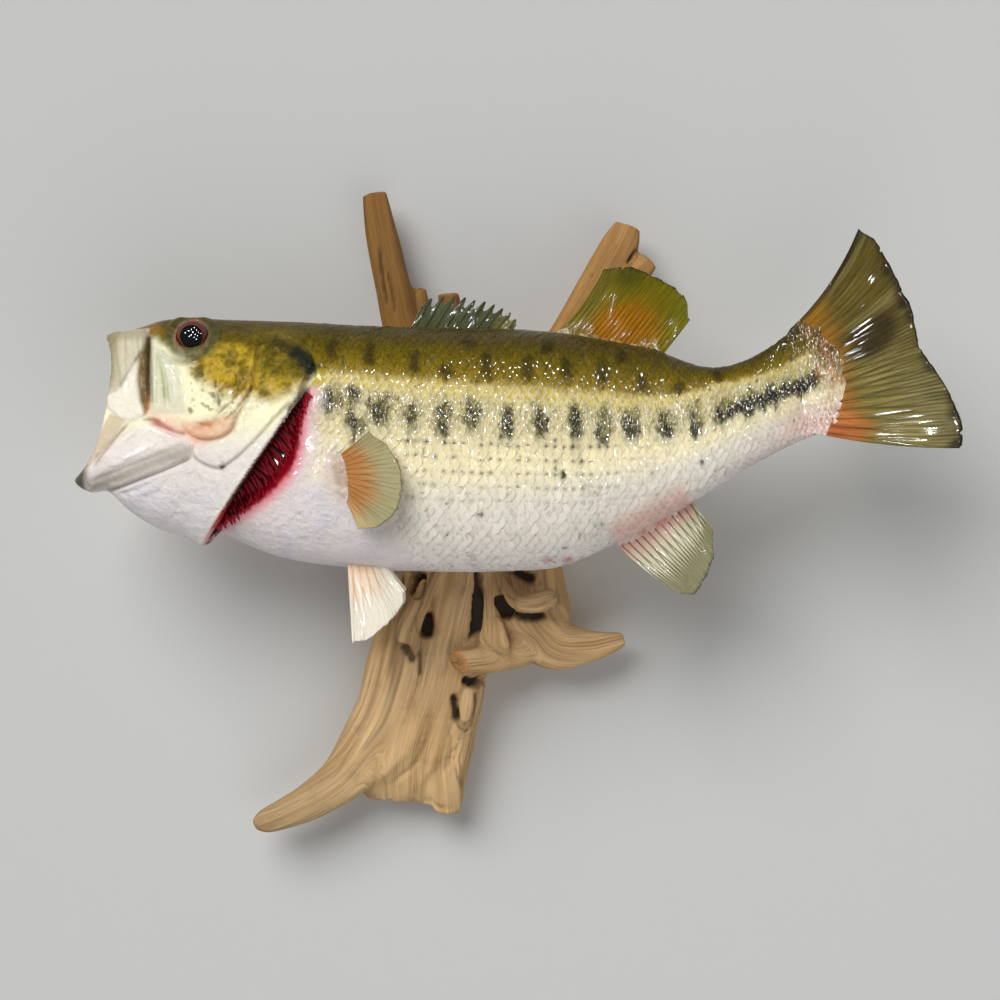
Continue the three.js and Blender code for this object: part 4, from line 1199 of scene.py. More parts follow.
class CoatMap:
    """Finds a place on the trunk from its run along the lateral line and its arc above it."""

    def __init__(self):
        self.t = np.linspace(0, 1, 321)
        angle = np.linspace(-0.4, math.pi + 0.4, 441)
        grid_t, grid_angle = np.meshgrid(self.t, angle, indexing="ij")
        points = trunk_surface(grid_t.ravel(), grid_angle.ravel(), 0.0).reshape(len(self.t), len(angle), 3)
        step = np.linalg.norm(np.diff(points, axis=1), axis=2)
        arc = np.concatenate((np.zeros((len(self.t), 1)), np.cumsum(step, axis=1)), axis=1)
        line = run_through(points[:, :, 0], LATERAL_LINE)
        over = points[:, :, 2] - line
        half = (angle > 0.1) & (angle < math.pi - 0.1)
        self.arcs = np.linspace(-150, 150, 301)
        self.angle = np.empty((len(self.t), len(self.arcs)))
        self.top = np.empty(len(self.t))
        self.low = np.empty(len(self.t))
        places = np.empty((len(self.t), 3))
        for i in range(len(self.t)):
            here = np.interp(0, -over[i, half], arc[i, half])
            self.angle[i] = np.interp(self.arcs, (here - arc[i])[::-1], angle[::-1])
            self.top[i] = here - np.interp(0, angle, arc[i])
            self.low[i] = here - np.interp(math.pi, angle, arc[i])
            at = np.interp(here, arc[i], np.arange(len(angle)))
            places[i] = points[i, int(at)]
        steps = np.linalg.norm(np.diff(places, axis=0), axis=1)
        self.run = np.concatenate(((0.0,), np.cumsum(steps)))
        self.x = places[:, 0]

    def find(self, run, arc):
        """The loft's t and angle for a run and an arc."""
        t = np.interp(run, self.run, self.t)
        i = np.clip(t * (len(self.t) - 1), 0, len(self.t) - 1.001)
        j = np.clip(arc - self.arcs[0], 0, len(self.arcs) - 1.001)
        low_i, low_j = i.astype(int), j.astype(int)
        fi, fj = i - low_i, j - low_j
        near = blend(self.angle[low_i, low_j], self.angle[low_i, low_j + 1], fj)
        far = blend(self.angle[low_i + 1, low_j], self.angle[low_i + 1, low_j + 1], fj)
        return t, blend(near, far, fi)


def repeated(template, count, name):
    """A mesh of so many copies of a template, all still in one place."""
    loops = values_of(template.loops, "vertex_index")
    starts = values_of(template.polygons, "loop_start")
    turn = np.arange(count)[:, None]
    mesh = bpy.data.meshes.new(name)
    mesh.vertices.add(len(template.vertices) * count)
    mesh.loops.add(len(loops) * count)
    mesh.polygons.add(len(starts) * count)
    mesh.loops.foreach_set("vertex_index", (loops + turn * len(template.vertices)).ravel().astype(np.int32))
    mesh.polygons.foreach_set("loop_start", (starts + turn * len(loops)).ravel().astype(np.int32))
    mesh.update(calc_edges=True)
    return mesh


def scale_sites(coat):
    """The run, arc, row, length and height of each scale's middle on one side."""
    pitch = run_through(coat.x, PITCH_AT)
    count = np.concatenate(((0.0,), np.cumsum(np.diff(coat.run) / ((pitch[1:] + pitch[:-1]) / 2))))
    sites = []
    for row in range(-34, 34):
        steps = np.arange(0, count[-1], 1.0) + (0.5 if row % 2 else 0.0)
        run = np.interp(steps, count, coat.run)
        x = np.interp(run, coat.run, coat.x)
        high = run_through(x, ROW_AT)
        arc = (row + 0.5) * high
        top, low = np.interp(run, coat.run, coat.top), np.interp(run, coat.run, coat.low)
        keep = (arc < top - 0.15 * high) & (arc > low + 0.15 * high)
        long = run_through(x, PITCH_AT)
        sites.append(np.column_stack((run, arc, np.full(len(run), row), long, high))[keep])
    return np.vstack(sites)


class FlankLie:
    """Places on one flank, from a run along the lateral line, an arc above it and a lift."""

    def __init__(self, coat, side):
        self.coat, self.side = coat, side

    def place(self, run, arc, lift):
        t, angle = self.coat.find(run, arc)
        return trunk_surface(np.minimum(t, 0.999), angle * -self.side, lift)

    def patch(self, run, arc):
        return 0.01 + 0.8 * run / self.coat.run[-1], 0.25 + 0.22 * arc / 125 + 0.25 * (1 + self.side)


class FinRootLie:
    """Places on the scaled root of a fin, from a run up its rays and an arc across them."""

    def __init__(self, name, side, cover, thick, patch_place):
        self.shape, self.side, self.cover, self.thick = FINS[name], side, cover, thick
        self.long = math.dist(*self.shape["root"])
        self.patch_place = patch_place

    def place(self, run, arc, lift):
        u = np.clip(arc / self.long + 0.5, 0.0, 1.0)
        v = run / spline(self.shape["lengths"], u)
        thick = blend(self.thick, 0.6, np.clip(run / spline(self.cover, u), 0, 1))
        normal = fin_normal(self.shape, u, v)
        normal *= np.sign(normal[:, 1:2]) * self.side
        return fin_middle(self.shape, u, v) + normal * (thick + lift)[:, None]

    def patch(self, run, arc):
        return 0.84 + 0.0015 * run, self.patch_place + 0.0015 * arc + 0.25 * (1 + self.side)

    def sites(self, long, high):
        """Sites in the same form as those of the flanks."""
        found = []
        for row in range(int(self.long / high)):
            arc = (row + 0.5) * high - self.long / 2
            reach = spline(self.cover, np.array([arc / self.long + 0.5]))[0]
            for step in range(-1, int(reach / long) + 1):
                run = (step + 0.5 * (row % 2)) * long
                if run < reach - 0.3 * long:
                    found.append((run, arc, row, long, high))
        return np.array(found, float)


def scale_form():
    """One scale's grid: across from -1 to 1, along from 0 at its root to 1 at its rim."""
    template = carried_grid(SCALE_COLUMNS, SCALE_ROWS, lambda u, v: np.stack((u * 2 - 1, v, 0 * u), -1) / MM)
    across, along, _ = corners_of(template).T
    ladder = np.array((0, 0.22, 0.42, 0.6, 0.75, 0.87, 0.955, 1.0, 1.0))
    lip = along > 1 - 0.5 / SCALE_ROWS
    along = ladder[np.rint(along * SCALE_ROWS).astype(int)]
    return template, across, along, lip


# How a scale lies, in millimetres unless it says otherwise.
SIT = 0.62  # how far its rim reaches past its site, in lengths of the row's pitch
RIM_BOW = 0.55  # how far the rim draws back at its two ends, in pitches
RIM_DROP = 0.55  # how far the closed edge under the rim drops
ARCH = 0.26  # how high it swells between root and rim
SAG = 0.2  # how far it droops at its sides
TILT = 0.62  # how much the scales lean, each its own way, so that the gloss breaks into glints
BARE_SINK = 1.2  # how far it sinks where the skin is bare
BASE_BLEND = 0.22  # the share of its paint that is the colour at its root's place
DOT_FROM, DOT_TO = -64, 128  # where the rows of dots start and end along the fish


def scales(lie, sites, name, sizes, painted):
    """Solid scales at the sites, each lying back over the next ones."""
    template, across, along, lip = scale_form()
    rng = np.random.default_rng(len(name) * 7 + (lie.side > 0))
    count, each = len(sites), len(across)
    chance = rng.random((count, 4))
    run0, arc0, row, long, high = sites.T[:, :, None]
    roots = lie.place(run0.ravel(), arc0.ravel(), np.zeros(count))
    size = 1 + (chance[:, :1] - 0.5) * 0.10
    reach = long * sizes.overlap
    run = run0 + long * SIT * size - reach * (1 - along) - RIM_BOW * long * across ** 2 * along
    arc = arc0 + across * high * sizes.width * size + (chance[:, 1:2] - 0.5) * 0.12 * high * along
    depth = COAT_DEPTH * 0.92
    lift = -depth + depth * (along ** 0.85) + (chance[:, 2:3] - 0.5) * 0.14 * along
    lift = lift - (SAG * across ** 2) * (high / 4.3) - RIM_DROP * lip
    lift = lift + ARCH * np.sin(math.pi * np.clip((along - 0.3) / 0.7, 0, 1))
    # no two scales lie quite alike, which breaks the gloss up into glints
    lift = lift + TILT * ((chance[:, 1:2] - 0.5) * across + (chance[:, 2:3] - 0.5) * (along - 0.5))
    lift = lift - BARE_SINK * (1 - scaled_share(roots[:, 0], roots[:, 2]))[:, None]
    places = lie.place(run.ravel(), arc.ravel(), lift.ravel())
    mesh = repeated(template, count, name)
    bpy.data.meshes.remove(template)
    move_corners(mesh, places * MM)
    paint = blend(painted(places), np.repeat(painted(roots), each, axis=0), BASE_BLEND)
    # the rows of small dark dots under the stripe
    dotted = np.isin(row.ravel(), DOT_ROWS) & (roots[:, 0] > DOT_FROM) & (roots[:, 0] < DOT_TO)
    faint = ease(roots[:, 0], DOT_FROM, -40) * (1 - ease(roots[:, 0], 70, DOT_TO)) * (chance[:, 3] > 0.2)
    dots = np.repeat(dotted * faint * blend(0.95, 0.6, (row.ravel() + 6) / -6), each)
    dab = np.exp(-((np.tile(across, count) / 0.4) ** 2) - ((np.tile(along, count) - 0.86) / 0.13) ** 2)
    paint = airbrushed(paint, dots * dab, tone(40, 34, 18))
    note(mesh, "paint", paint, "FLOAT_COLOR")
    note(mesh, "scale_along", np.tile(along, count))
    note(mesh, "scale_across", np.tile(across, count))
    note(mesh, "scale_chance", np.repeat(chance[:, 3], each))
    note(mesh, "paleness", paleness(paint))
    note(mesh, "band", stripe_band(places))
    patch_map(mesh, lie, sites, across, along)
    smooth_shaded(mesh)
    return placed(mesh, name)


def patch_map(mesh, lie, sites, across, along):
    """Lays each scale as a small patch at its own place on an unwrap of the flanks."""
    loops = values_of(mesh.loops, "vertex_index")
    u, v = (np.repeat(value, len(across)) for value in lie.patch(sites[:, 0], sites[:, 1]))
    u = u + (np.tile(along, len(sites)) - 0.5) * PATCH
    v = v + np.tile(across, len(sites)) * PATCH / 2
    layer = mesh.uv_layers.new(name="OFBake")
    layer.data.foreach_set("uv", np.column_stack((u, v))[loops].astype(np.float32).ravel())


# ---- Fins -------------------------------------------------------------------------------------

PECTORAL = dict(root=((-85, -6), (-80, -33)), angles=(38, -66), sunk=7, wave=1.5, bow=(0, 0), rays=14,
                forks=1, lengths=(25, 33, 38.5, 38, 31, 20), base=(172, 164, 122))
PELVIC = dict(root=((-81, -71), (-57, -74)), angles=(-85, -52), sunk=6, wave=2.0, curl=0.0, bow=(0, 0),
              rays=6, forks=2, lengths=(52, 49, 43, 37, 30, 20), inset=13, base=(242, 232, 212))
# Each fin: its root line from front to back, the directions of its first and last ray, the lengths
# of its rays, how deep its root is set, its waviness, how its first and last rays bow, how many rays
# it has, how often they branch and the colour of its ground. The paired fins also have the side they
# are on, how far from the middle they grow and how far they stand out.
FINS = {
    "caudal_fin": dict(root=((196, 74), (213, 8)), angles=(57, -6), sunk=9, wave=3.0, curl=0.12,
                       bow=(4.5, 2.5), lengths=(75, 78, 77, 77, 77, 74, 74, 80, 86, 89, 87), rays=17,
                       forks=3, base=(132, 120, 64)),
    "dorsal_fin_soft": dict(root=((47, 70), (116, 57)), angles=(52.5, 52), sunk=6, wave=2.5, curl=0.12,
                            bow=(3.0, 0), lengths=(54, 58.5, 57.5, 55, 52.5, 48.5, 42, 29), rays=22,
                            forks=1, base=(122, 112, 4)),
    "dorsal_fin_spiny": dict(root=((-44, 72), (19, 70)), angles=(62, 50), sunk=5, wave=1.0, curl=0.0,
                             bow=(0, 0), lengths=(26, 28.5, 29, 28.5, 27.5, 26, 23, 19, 13), rays=10,
                             forks=0, base=(78, 84, 56)),
    "anal_fin": dict(root=((84, -57), (134, -31)), angles=(-39, -57), sunk=6, wave=2.5, curl=0.15,
                     bow=(2, 0), lengths=(57, 59, 54, 48, 41, 26), rays=12, forks=2,
                     base=(214, 208, 178)),
    "pectoral_fin_left": dict(PECTORAL, curl=-0.2, side=-1, inset=40, out=0.75),
    "pectoral_fin_right": dict(PECTORAL, curl=0.35, side=1, inset=39, out=-0.6),
    "pelvic_fin_left": dict(PELVIC, side=-1, out=0.45),
    "pelvic_fin_right": dict(PELVIC, side=1, out=-0.35),
}
FORKS = ((0.28, 0.62), (0.5, 0.85), (0.72, 1.0))


def ray_field(shape, u, v):
    """How near each place is to the middle of a ray, as 1 on it and 0 between rays."""
    cell = np.abs((u * shape["rays"]) % 1 - 0.5)
    for fork, (low, high) in zip(range(shape["forks"]), FORKS):
        cell = np.abs(cell - 0.25 / 2 ** fork * ease(v, low, high))
    width = blend(0.2, 0.075, v) if shape["forks"] else blend(0.14, 0.08, v)
    return np.exp(-(cell / width) ** 2)


def fin_middle(shape, u, v):
    """A place on the fin's middle surface, u from first ray to last and v from root to tip."""
    (ax, az), (bx, bz) = shape["root"]
    angle = np.radians(blend(shape["angles"][0], shape["angles"][1], u))
    reach = spline(shape["lengths"], u) * v
    first, last = shape["bow"]
    bow = (first * (1 - ease(u, 0, 0.6)) + last * ease(u, 0.6, 1)) * 4 * v * (v - 1) * (v > 0)
    x = blend(ax, bx, u) + np.cos(angle) * reach - np.sin(angle) * bow
    z = blend(az, bz, u) + np.sin(angle) * reach + np.cos(angle) * bow
    stand = MIDDLE_Y + swing(x) + shape.get("side", 0) * shape.get("inset", 0)
    ripple = shape["wave"] * np.maximum(v, 0) * np.sin(3 * math.pi * u)
    return np.stack((x, stand - reach * (shape.get("out", 0) + shape["curl"] * v) + ripple, z), -1)


def fin_steps(shape, u, v, step):
    """The ways over a fin, across its rays and along them, from a step behind to a step ahead."""
    du = fin_middle(shape, u + step, v) - fin_middle(shape, u - step, v)
    dv = fin_middle(shape, u, v + step) - fin_middle(shape, u, v - step)
    return du, dv


def fin_normal(shape, u, v):
    normal = np.cross(*fin_steps(shape, u, v, 0.01))
    return normal / np.linalg.norm(normal, axis=1)[:, None]


def fin_edge(shape, u, name):
    """How much of its full length the fin keeps at u: its edge is worn and a little torn."""
    line = np.column_stack((u * 40, 0 * u + shape["rays"]))
    worn = 0.014 * (1 + cloud(line, 2.6, 2)) + 0.004 * (1 + cloud(line, 0.8, 5))
    nicks = 0.025 * ease(cloud(line, 1.1, 9), 0.55, 0.9)
    if name == "dorsal_fin_spiny":
        cell = np.abs((u * shape["rays"]) % 1 - 0.5) * 2
        return 1 - 0.22 * ease(cell, 0.1, 0.8) - worn * 3
    return 1 - worn - nicks


def fin(name, columns, rows):
    shape = FINS[name]

    def carry(s, w):
        lid = (w < 0.5 / (2 * rows + 2)) | (w > 1 - 0.5 / (2 * rows + 2))
        turn = np.clip((w * (2 * rows + 2) - 1) / (2 * rows), 0, 1)
        v = 1 - np.abs(turn * 2 - 1)
        face = np.where(turn <= 0.5, 1.0, -1.0)
        face = np.where(lid | (v > 1 - 0.5 / rows), 0.0, face)
        sunk = shape["sunk"] / spline(shape["lengths"], s)
        reach = blend(-sunk, fin_edge(shape, s, name), v)
        ray = ray_field(shape, s, reach)
        thick = blend(0.5, 0.16, v) + ray * blend(0.22, 0.05, v)
        thick = thick * ease(np.minimum(s, 1 - s), 0, 0.004) * ease(1 - v, 0, 0.02)
        flutter = blend(0.0, 0.7, v) * layered_cloud(np.column_stack((s * 14, v * 3)), 1.4, 2, len(name))
        return fin_middle(shape, s, reach) + fin_normal(shape, s, reach) * (thick * face + flutter)[:, None]

    mesh = sealed(carried_grid(columns, 2 * rows + 2, carry), 2e-6)
    places = corners_of(mesh) / MM
    u, v = fin_coordinates(shape, places)
    note(mesh, "fan", u)
    note(mesh, "reach", v)
    note(mesh, "ray", ray_field(shape, u, v))
    paint = fin_markings(name, u, v, ray_field(shape, u, v))
    note(mesh, "paint", paint, "FLOAT_COLOR")
    note(mesh, "paleness", paleness(paint))
    smooth_shaded(mesh)
    return placed(mesh, name + "_rays")


def fin_coordinates(shape, places):
    """The u and v of places on a fin, from the nearest point of a fine net over it."""
    net_u, net_v = (a.ravel() for a in np.meshgrid(np.linspace(0, 1, 161), np.linspace(-0.2, 1, 61)))
    net = fin_middle(shape, net_u, net_v)
    tree = tree_of(net)
    nearest = np.array([tree.find(p)[1] for p in places])
    u, v = net_u[nearest], net_v[nearest]
    for _ in range(3):  # slide along the net to the exact place
        here = fin_middle(shape, u, v)
        du, dv = (way / 0.01 for way in fin_steps(shape, u, v, 0.005))
        off = places - here
        a, b, c = (du * du).sum(1), (du * dv).sum(1), (dv * dv).sum(1)
        p, q = (off * du).sum(1), (off * dv).sum(1)
        scale = np.maximum(a * c - b * b, 1e-6)
        u = np.clip(u + (c * p - b * q) / scale, 0, 1)
        v = np.clip(v + (a * q - b * p) / scale, -0.3, 1)
    return u, v


def fin_markings(name, u, v, ray):
    """The painted colours of a fin, from its first ray to its last and from root to tip."""
    grid = np.column_stack((u * 22, v * 3.2))
    cloudy = cloud(grid, 1.6, len(name)) * 0.6 + cloud(grid, (0.5, 1.2), 7) * 0.4
    rough_v = v + cloudy * 0.07
    fine = ray ** 3
    coat = Coat(u, FINS[name]["base"])
    spray = coat.spray
    if name == "caudal_fin":
        spray(1 - ease(u + cloudy * 0.04, 0.34, 0.6), (98, 84, 30))
        streaks = cloud(np.column_stack((u * 60, v * 1.5)), 1.0, 3)
        spray(ease(streaks, 0.1, 0.7) * 0.5 * ease(v, 0.3, 0.6), (150, 138, 84))
        smudge = spot(u, v, (0.44, 0.6), (0.12, 0.3))
        spray(ease(smudge + cloudy * 0.2, 0.2, 0.8) * 0.9, (52, 40, 16))
        spray((1 - ease(rough_v, 0.24, 0.5)) * 0.9, (150, 104, 26))
        spray((1 - ease(rough_v, 0.16, 0.4)) * ease(u, 0.2, 0.45) * 0.8, (200, 122, 70))
        spray((1 - ease(rough_v, 0.16, 0.42)) * ease(u, 0.8, 0.95) * 0.7, (176, 94, 48))
        spray(ease(u, 0.5, 0.8) * ease(v, 0.5, 0.8) * 0.35, (160, 152, 108))
        lines = 0.3 + 0.35 * ease(u, 0.35, 0.6)
        edge = np.maximum(ease(rough_v, 0.9, 0.99), 1 - ease(u, 0.0, 0.05)) * 0.9
    elif name == "dorsal_fin_soft":
        glow = spot(u, v, (0.5, 0.24), (0.36, 0.42))
        spray(ease(glow + cloudy * 0.15, 0.08, 0.8), (168, 108, 0))
        spray((1 - ease(u + cloudy * 0.05, 0.0, 0.3)) * 0.8, (132, 116, 40))
        spray(spot(u, v, (0.26, 0.92), (0.18, 0.22)) * 0.7, (56, 54, 8))
        spray(ease(u, 0.6, 1.0) * ease(v, 0.3, 0.9) * 0.6, (112, 112, 30))
        lines, edge = 0.62, ease(rough_v, 0.95, 1.0) * 0.7
    elif name == "dorsal_fin_spiny":
        spray(1 - ease(v, 0.0, 0.35), (88, 80, 24))
        spray(ease(cloudy, 0.2, 0.7) * 0.5, (54, 60, 44))
        spray(spot(u, v, (0.88, 0.4), (0.1, 0.5)) * 0.6, (128, 116, 30))
        lines, edge = 0.9, ease(v, 0.92, 1.0) * 0.5
    elif name == "anal_fin":
        spray(ease(rough_v, 0.45, 0.8) * 0.7, (146, 142, 96))
        spray(ease(u, 0.65, 1.0) * 0.4, (140, 134, 82))
        spray((1 - ease(rough_v, 0.1, 0.42)) * 0.8, (240, 176, 164))
        lines, edge = 0.85, ease(rough_v, 0.93, 1.0) * 0.4
    elif name.startswith("pectoral"):
        spray((1 - ease(rough_v, 0.25, 0.8)) * 0.9, (192, 130, 68))
        spray(fine * (1 - ease(v, 0.3, 0.8)) * 0.7, (184, 92, 26))
        spray(ease(u, 0.72, 1.0) * 0.5, (222, 186, 134))
        spray((1 - ease(u, 0, 0.3)) * ease(v, 0.5, 0.9) * 0.5, (168, 150, 98))
        lines, edge = 0.2, ease(v, 0.96, 1.0) * 0.2
    else:
        spray((1 - ease(rough_v, 0.3, 0.7)) * fine * (1 - ease(u, 0.5, 0.9)), (222, 156, 108))
        spray((1 - ease(rough_v, 0.1, 0.6)) * (1 - ease(u, 0.4, 0.9)) * 0.6, (240, 200, 162))
        lines, edge = 0.0, ease(v, 0.96, 1.0) * 0.1
    spray(lines * fine * ease(v, 0.02, 0.12), (42, 32, 10))
    spray(edge, (40, 34, 14))
    return coat.paint


def fin_finish(name):
    f = Finish(name)
    here = f.here()
    pale = f.value("paleness")
    ray = f.value("ray")
    fanned = f.node("CombineXYZ", sockets={0: f.value("fan") * 70.0, 1: f.value("reach") * 2.5})
    streak = f.noise(fanned, 1.0, 4, 0.7)
    shade = f.between(streak, 0.3, 0.7, 0.6 + 0.32 * pale, 1.35 - 0.3 * pale)
    base = f.painted(shade)
    rough = f.between(f.noise(here, 300, 3), 0.3, 0.7, 0.2, 0.4)
    relief = f.bump(streak, 0.0006)
    relief = f.bump(ray, 0.00018, relief)
    relief = f.bump(f.noise(here, 500, 4, 0.65), 0.0006, relief)
    return f.done(base_color=base, roughness=rough, normal=relief, specular_ior_level=0.06, coat_weight=0.28,
                  coat_roughness=0.06)


def tail_root_colours(places):
    """The body's colours, which pass into salmon and gold over the tail fin's root."""
    x, _, z = places.T
    coat = Coat(places, body_markings(places))
    spray = coat.spray
    past = x - np.interp(z, (8, 30, 52, 74), (213, 208, 203, 196))
    patchy = layered_cloud(places, 4.0, 2, 61)
    spray(ease(past + patchy * 5, 0, 14) * ease(z, 42, 60), (96, 80, 26))
    spray(ease(past + patchy * 6, 2, 16) * ease(patchy, -0.5, 0.6) * 0.75, (176, 112, 66))
    spray(ease(past + patchy * 5, -4, 12) * (1 - ease(z, 16, 30)) * 0.6, (196, 128, 100))
    return coat.paint


def back_root_colours(places):
    coat = Coat(places, "olive_gold")
    # painted glints: pale patches over the olive gold of the soft dorsal fin's scaled root
    coat.spray(ease(cloud(places, 2.2, 4), -0.2, 0.6) * 0.7, (196, 168, 120))
    return coat.paint


def vent_root_colours(places):
    coat = Coat(places, (236, 214, 200))
    coat.spray(ease(cloud(places, 5, 4), -0.4, 0.6), "pink")
    return coat.paint


# The fins whose roots carry scales: how far up the rays, how thick, the scales' size, the colours.
FIN_ROOTS = {
    "caudal_fin": ((9, 19, 25, 24, 16, 5), 2.0, 3.4, 2.7, tail_root_colours),
    "dorsal_fin_soft": ((9, 7, 6, 5, 3), 1.6, 2.8, 2.3, back_root_colours),
    "anal_fin": ((8, 9, 8, 6, 3), 1.8, 3.0, 2.4, vent_root_colours),
}


# ---- Eyes, gills and tongue -------------------------------------------------------------------

def eye_finish():
    """Glass painted behind: a black pupil, a gold thread round it, a red-brown iris, a dark rim."""
    f = Finish("glass_eye")
    here = f.here()
    split = f.node("SeparateXYZ", sockets={0: here})
    along_x = Wire(f, split.socket.node.outputs[0]) - EYE["x"] * MM
    along_z = Wire(f, split.socket.node.outputs[2]) - EYE["z"] * MM
    far = (along_x * along_x + along_z * along_z) ** 0.5 * (1000 / EYE["radius"])
    fibre = f.noise(here, 900, 3, 0.6)
    iris = f.mix(fibre, (0.17, 0.03, 0.014), (0.07, 0.012, 0.007))
    colour = f.mix(f.between(far, 0.68, 0.72), (0.002, 0.002, 0.003), (0.2, 0.05, 0.02))
    colour = f.mix(f.between(far, 0.72, 0.78), colour, iris)
    colour = f.mix(f.between(far, 0.86, 0.95), colour, (0.03, 0.012, 0.006))
    return f.done(base_color=colour, roughness=0.3, specular_ior_level=0.0, coat_weight=1.0,
                  coat_roughness=0.015, coat_ior=1.6)


# Where the gills grow from, under the cover's edge: x, z from its top to its bottom.
GILL_ROOTS = ((-106, 33), (-113, 24), (-122, 12), (-131, 0), (-140, -13), (-149, -26), (-158, -38.5),
              (-165, -48))
# The layers of filaments from the floor out: share of the full length, and how many.
GILL_LAYERS = ((0.85, 40), (0.66, 36), (0.46, 32))
# The filaments' full length, at shares of the way down the roots.
GILL_LENGTHS = ((0, 7), (0.12, 11), (0.35, 22), (0.6, 24), (0.85, 15), (1, 7))
FILAMENT_RADIUS = 1.35


def gill_combs(side, name):
    """Three layers of tapering red filaments that lie back across the hollow."""
    rng = np.random.default_rng(11 if side < 0 else 12)
    template = carried_grid(7, 9, lambda u, v: np.stack((u, v, 0 * u), -1) / MM)
    around, along, _ = corners_of(template).T
    t, angle = (a.ravel() for a in np.meshgrid(np.linspace(0, 0.5, 80), np.linspace(0.1, math.pi - 0.1, 160)))
    floor = sunk_trunk(t, angle * -side, -COAT_DEPTH)
    tree = tree_of([(x, z, 0) for x, _, z in floor])
    strands = []
    for layer, (share, count) in enumerate(GILL_LAYERS):
        for k in range(count):
            f = (k + rng.random() * 0.5) / count
            x, z = spline(GILL_ROOTS, np.array([f]))[0]
            lean = math.radians(blend(-26, -50, f) + rng.normal() * 4)
            reach = run_through(f, GILL_LENGTHS)
            strands.append((x, z, lean, reach * share * rng.uniform(0.8, 1.05), layer, rng.random()))
    x0, z0, lean, reach, layer, chance = np.array(strands).T[:, :, None]
    run = reach * along
    droop = lean - 0.25 * along * (0.5 + chance)
    x, z = x0 + run * np.cos(droop), z0 + run * np.sin(droop)
    under = np.array([floor[tree.find((a, b, 0))[1], 1] for a, b in zip(x.ravel(), z.ravel())])
    out = side * (0.8 + layer * 1.2 + 0.9 * np.sin(math.pi * np.minimum(along, 0.95)))
    thick = FILAMENT_RADIUS * (1 - 0.35 * along) * np.sqrt(np.clip(1 - along ** 6, 0, 1)) * (1 - 0.08 * layer)
    turn = around * 2 * math.pi
    x = x - np.sin(droop) * np.cos(turn) * thick
    z = z + np.cos(droop) * np.cos(turn) * thick
    y = under.reshape(x.shape) + out + np.sin(turn) * thick * 0.8
    mesh = repeated(template, len(strands), name)
    bpy.data.meshes.remove(template)
    move_corners(mesh, np.stack((x, y, z), -1).reshape(-1, 3) * MM)
    note(mesh, "tip", np.tile(along, len(strands)) * np.repeat(0.7 + 0.3 * chance.ravel(), len(along)))
    sealed(mesh, 1e-7)
    smooth_shaded(mesh)
    return placed(mesh, name)


def gill_finish():
    f = Finish("wet_gills")
    here = f.here()
    # painted shade: each filament is dark at its root, down among the others, and bright red at its tip
    tint = f.mix(f.between(f.value("tip"), 0.1, 0.8), (0.10, 0.0006, 0.004), (0.50, 0.004, 0.024))
    tint = f.mix(f.between(f.noise(here, 420, 3, 0.6), 0.4, 0.7, 0.0, 0.5), tint, (0.1, 0.001, 0.006))
    return f.done(base_color=tint, roughness=0.5, specular_ior_level=0.12, coat_weight=0.1,
                  coat_roughness=0.1, normal=f.bump(f.noise(here, 1200, 2), 0.0002))


def tongue_form():
    """A flat pointed tongue with a groove along its middle, standing out of the mouth's floor."""
    def carry(u, v):
        turn, climb = u * 2 * math.pi, (v - 0.5) * math.pi
        x, y, z = np.sin(climb), np.cos(climb) * np.cos(turn), np.cos(climb) * np.sin(turn)
        tip = 1 - 0.35 * ease(-x, 0.2, 1)
        z = z - 0.22 * np.exp(-(y / 0.22) ** 2) * (z > 0)
        tilt = math.radians(4)
        px, py, pz = x * 23.0, y * 9.2 * tip, z * 8.2
        places = np.stack((-196 + px * math.cos(tilt) + pz * math.sin(tilt), MIDDLE_Y + swing(-196.0) + py,
                           -20 + pz * math.cos(tilt) - px * math.sin(tilt)), -1)
        return places + layered_cloud(places, 5.0, 2, 3)[:, None] * (0.0, 0.2, 0.35)
    mesh = sealed(carried_grid(60, 44, carry), 2e-6)
    smooth_shaded(mesh)
    return placed(mesh, "tongue_flesh")


def tongue_finish():
    f = Finish("tongue_flesh")
    here = f.here()
    tint = f.mix(f.noise(here, 160, 4), (0.62, 0.3, 0.24), (0.78, 0.52, 0.42))
    return f.done(base_color=tint, roughness=0.35, coat_weight=0.6, coat_roughness=0.12,
                  normal=f.bump(f.noise(here, 900, 3), 0.0004))


# ---- Driftwood --------------------------------------------------------------------------------

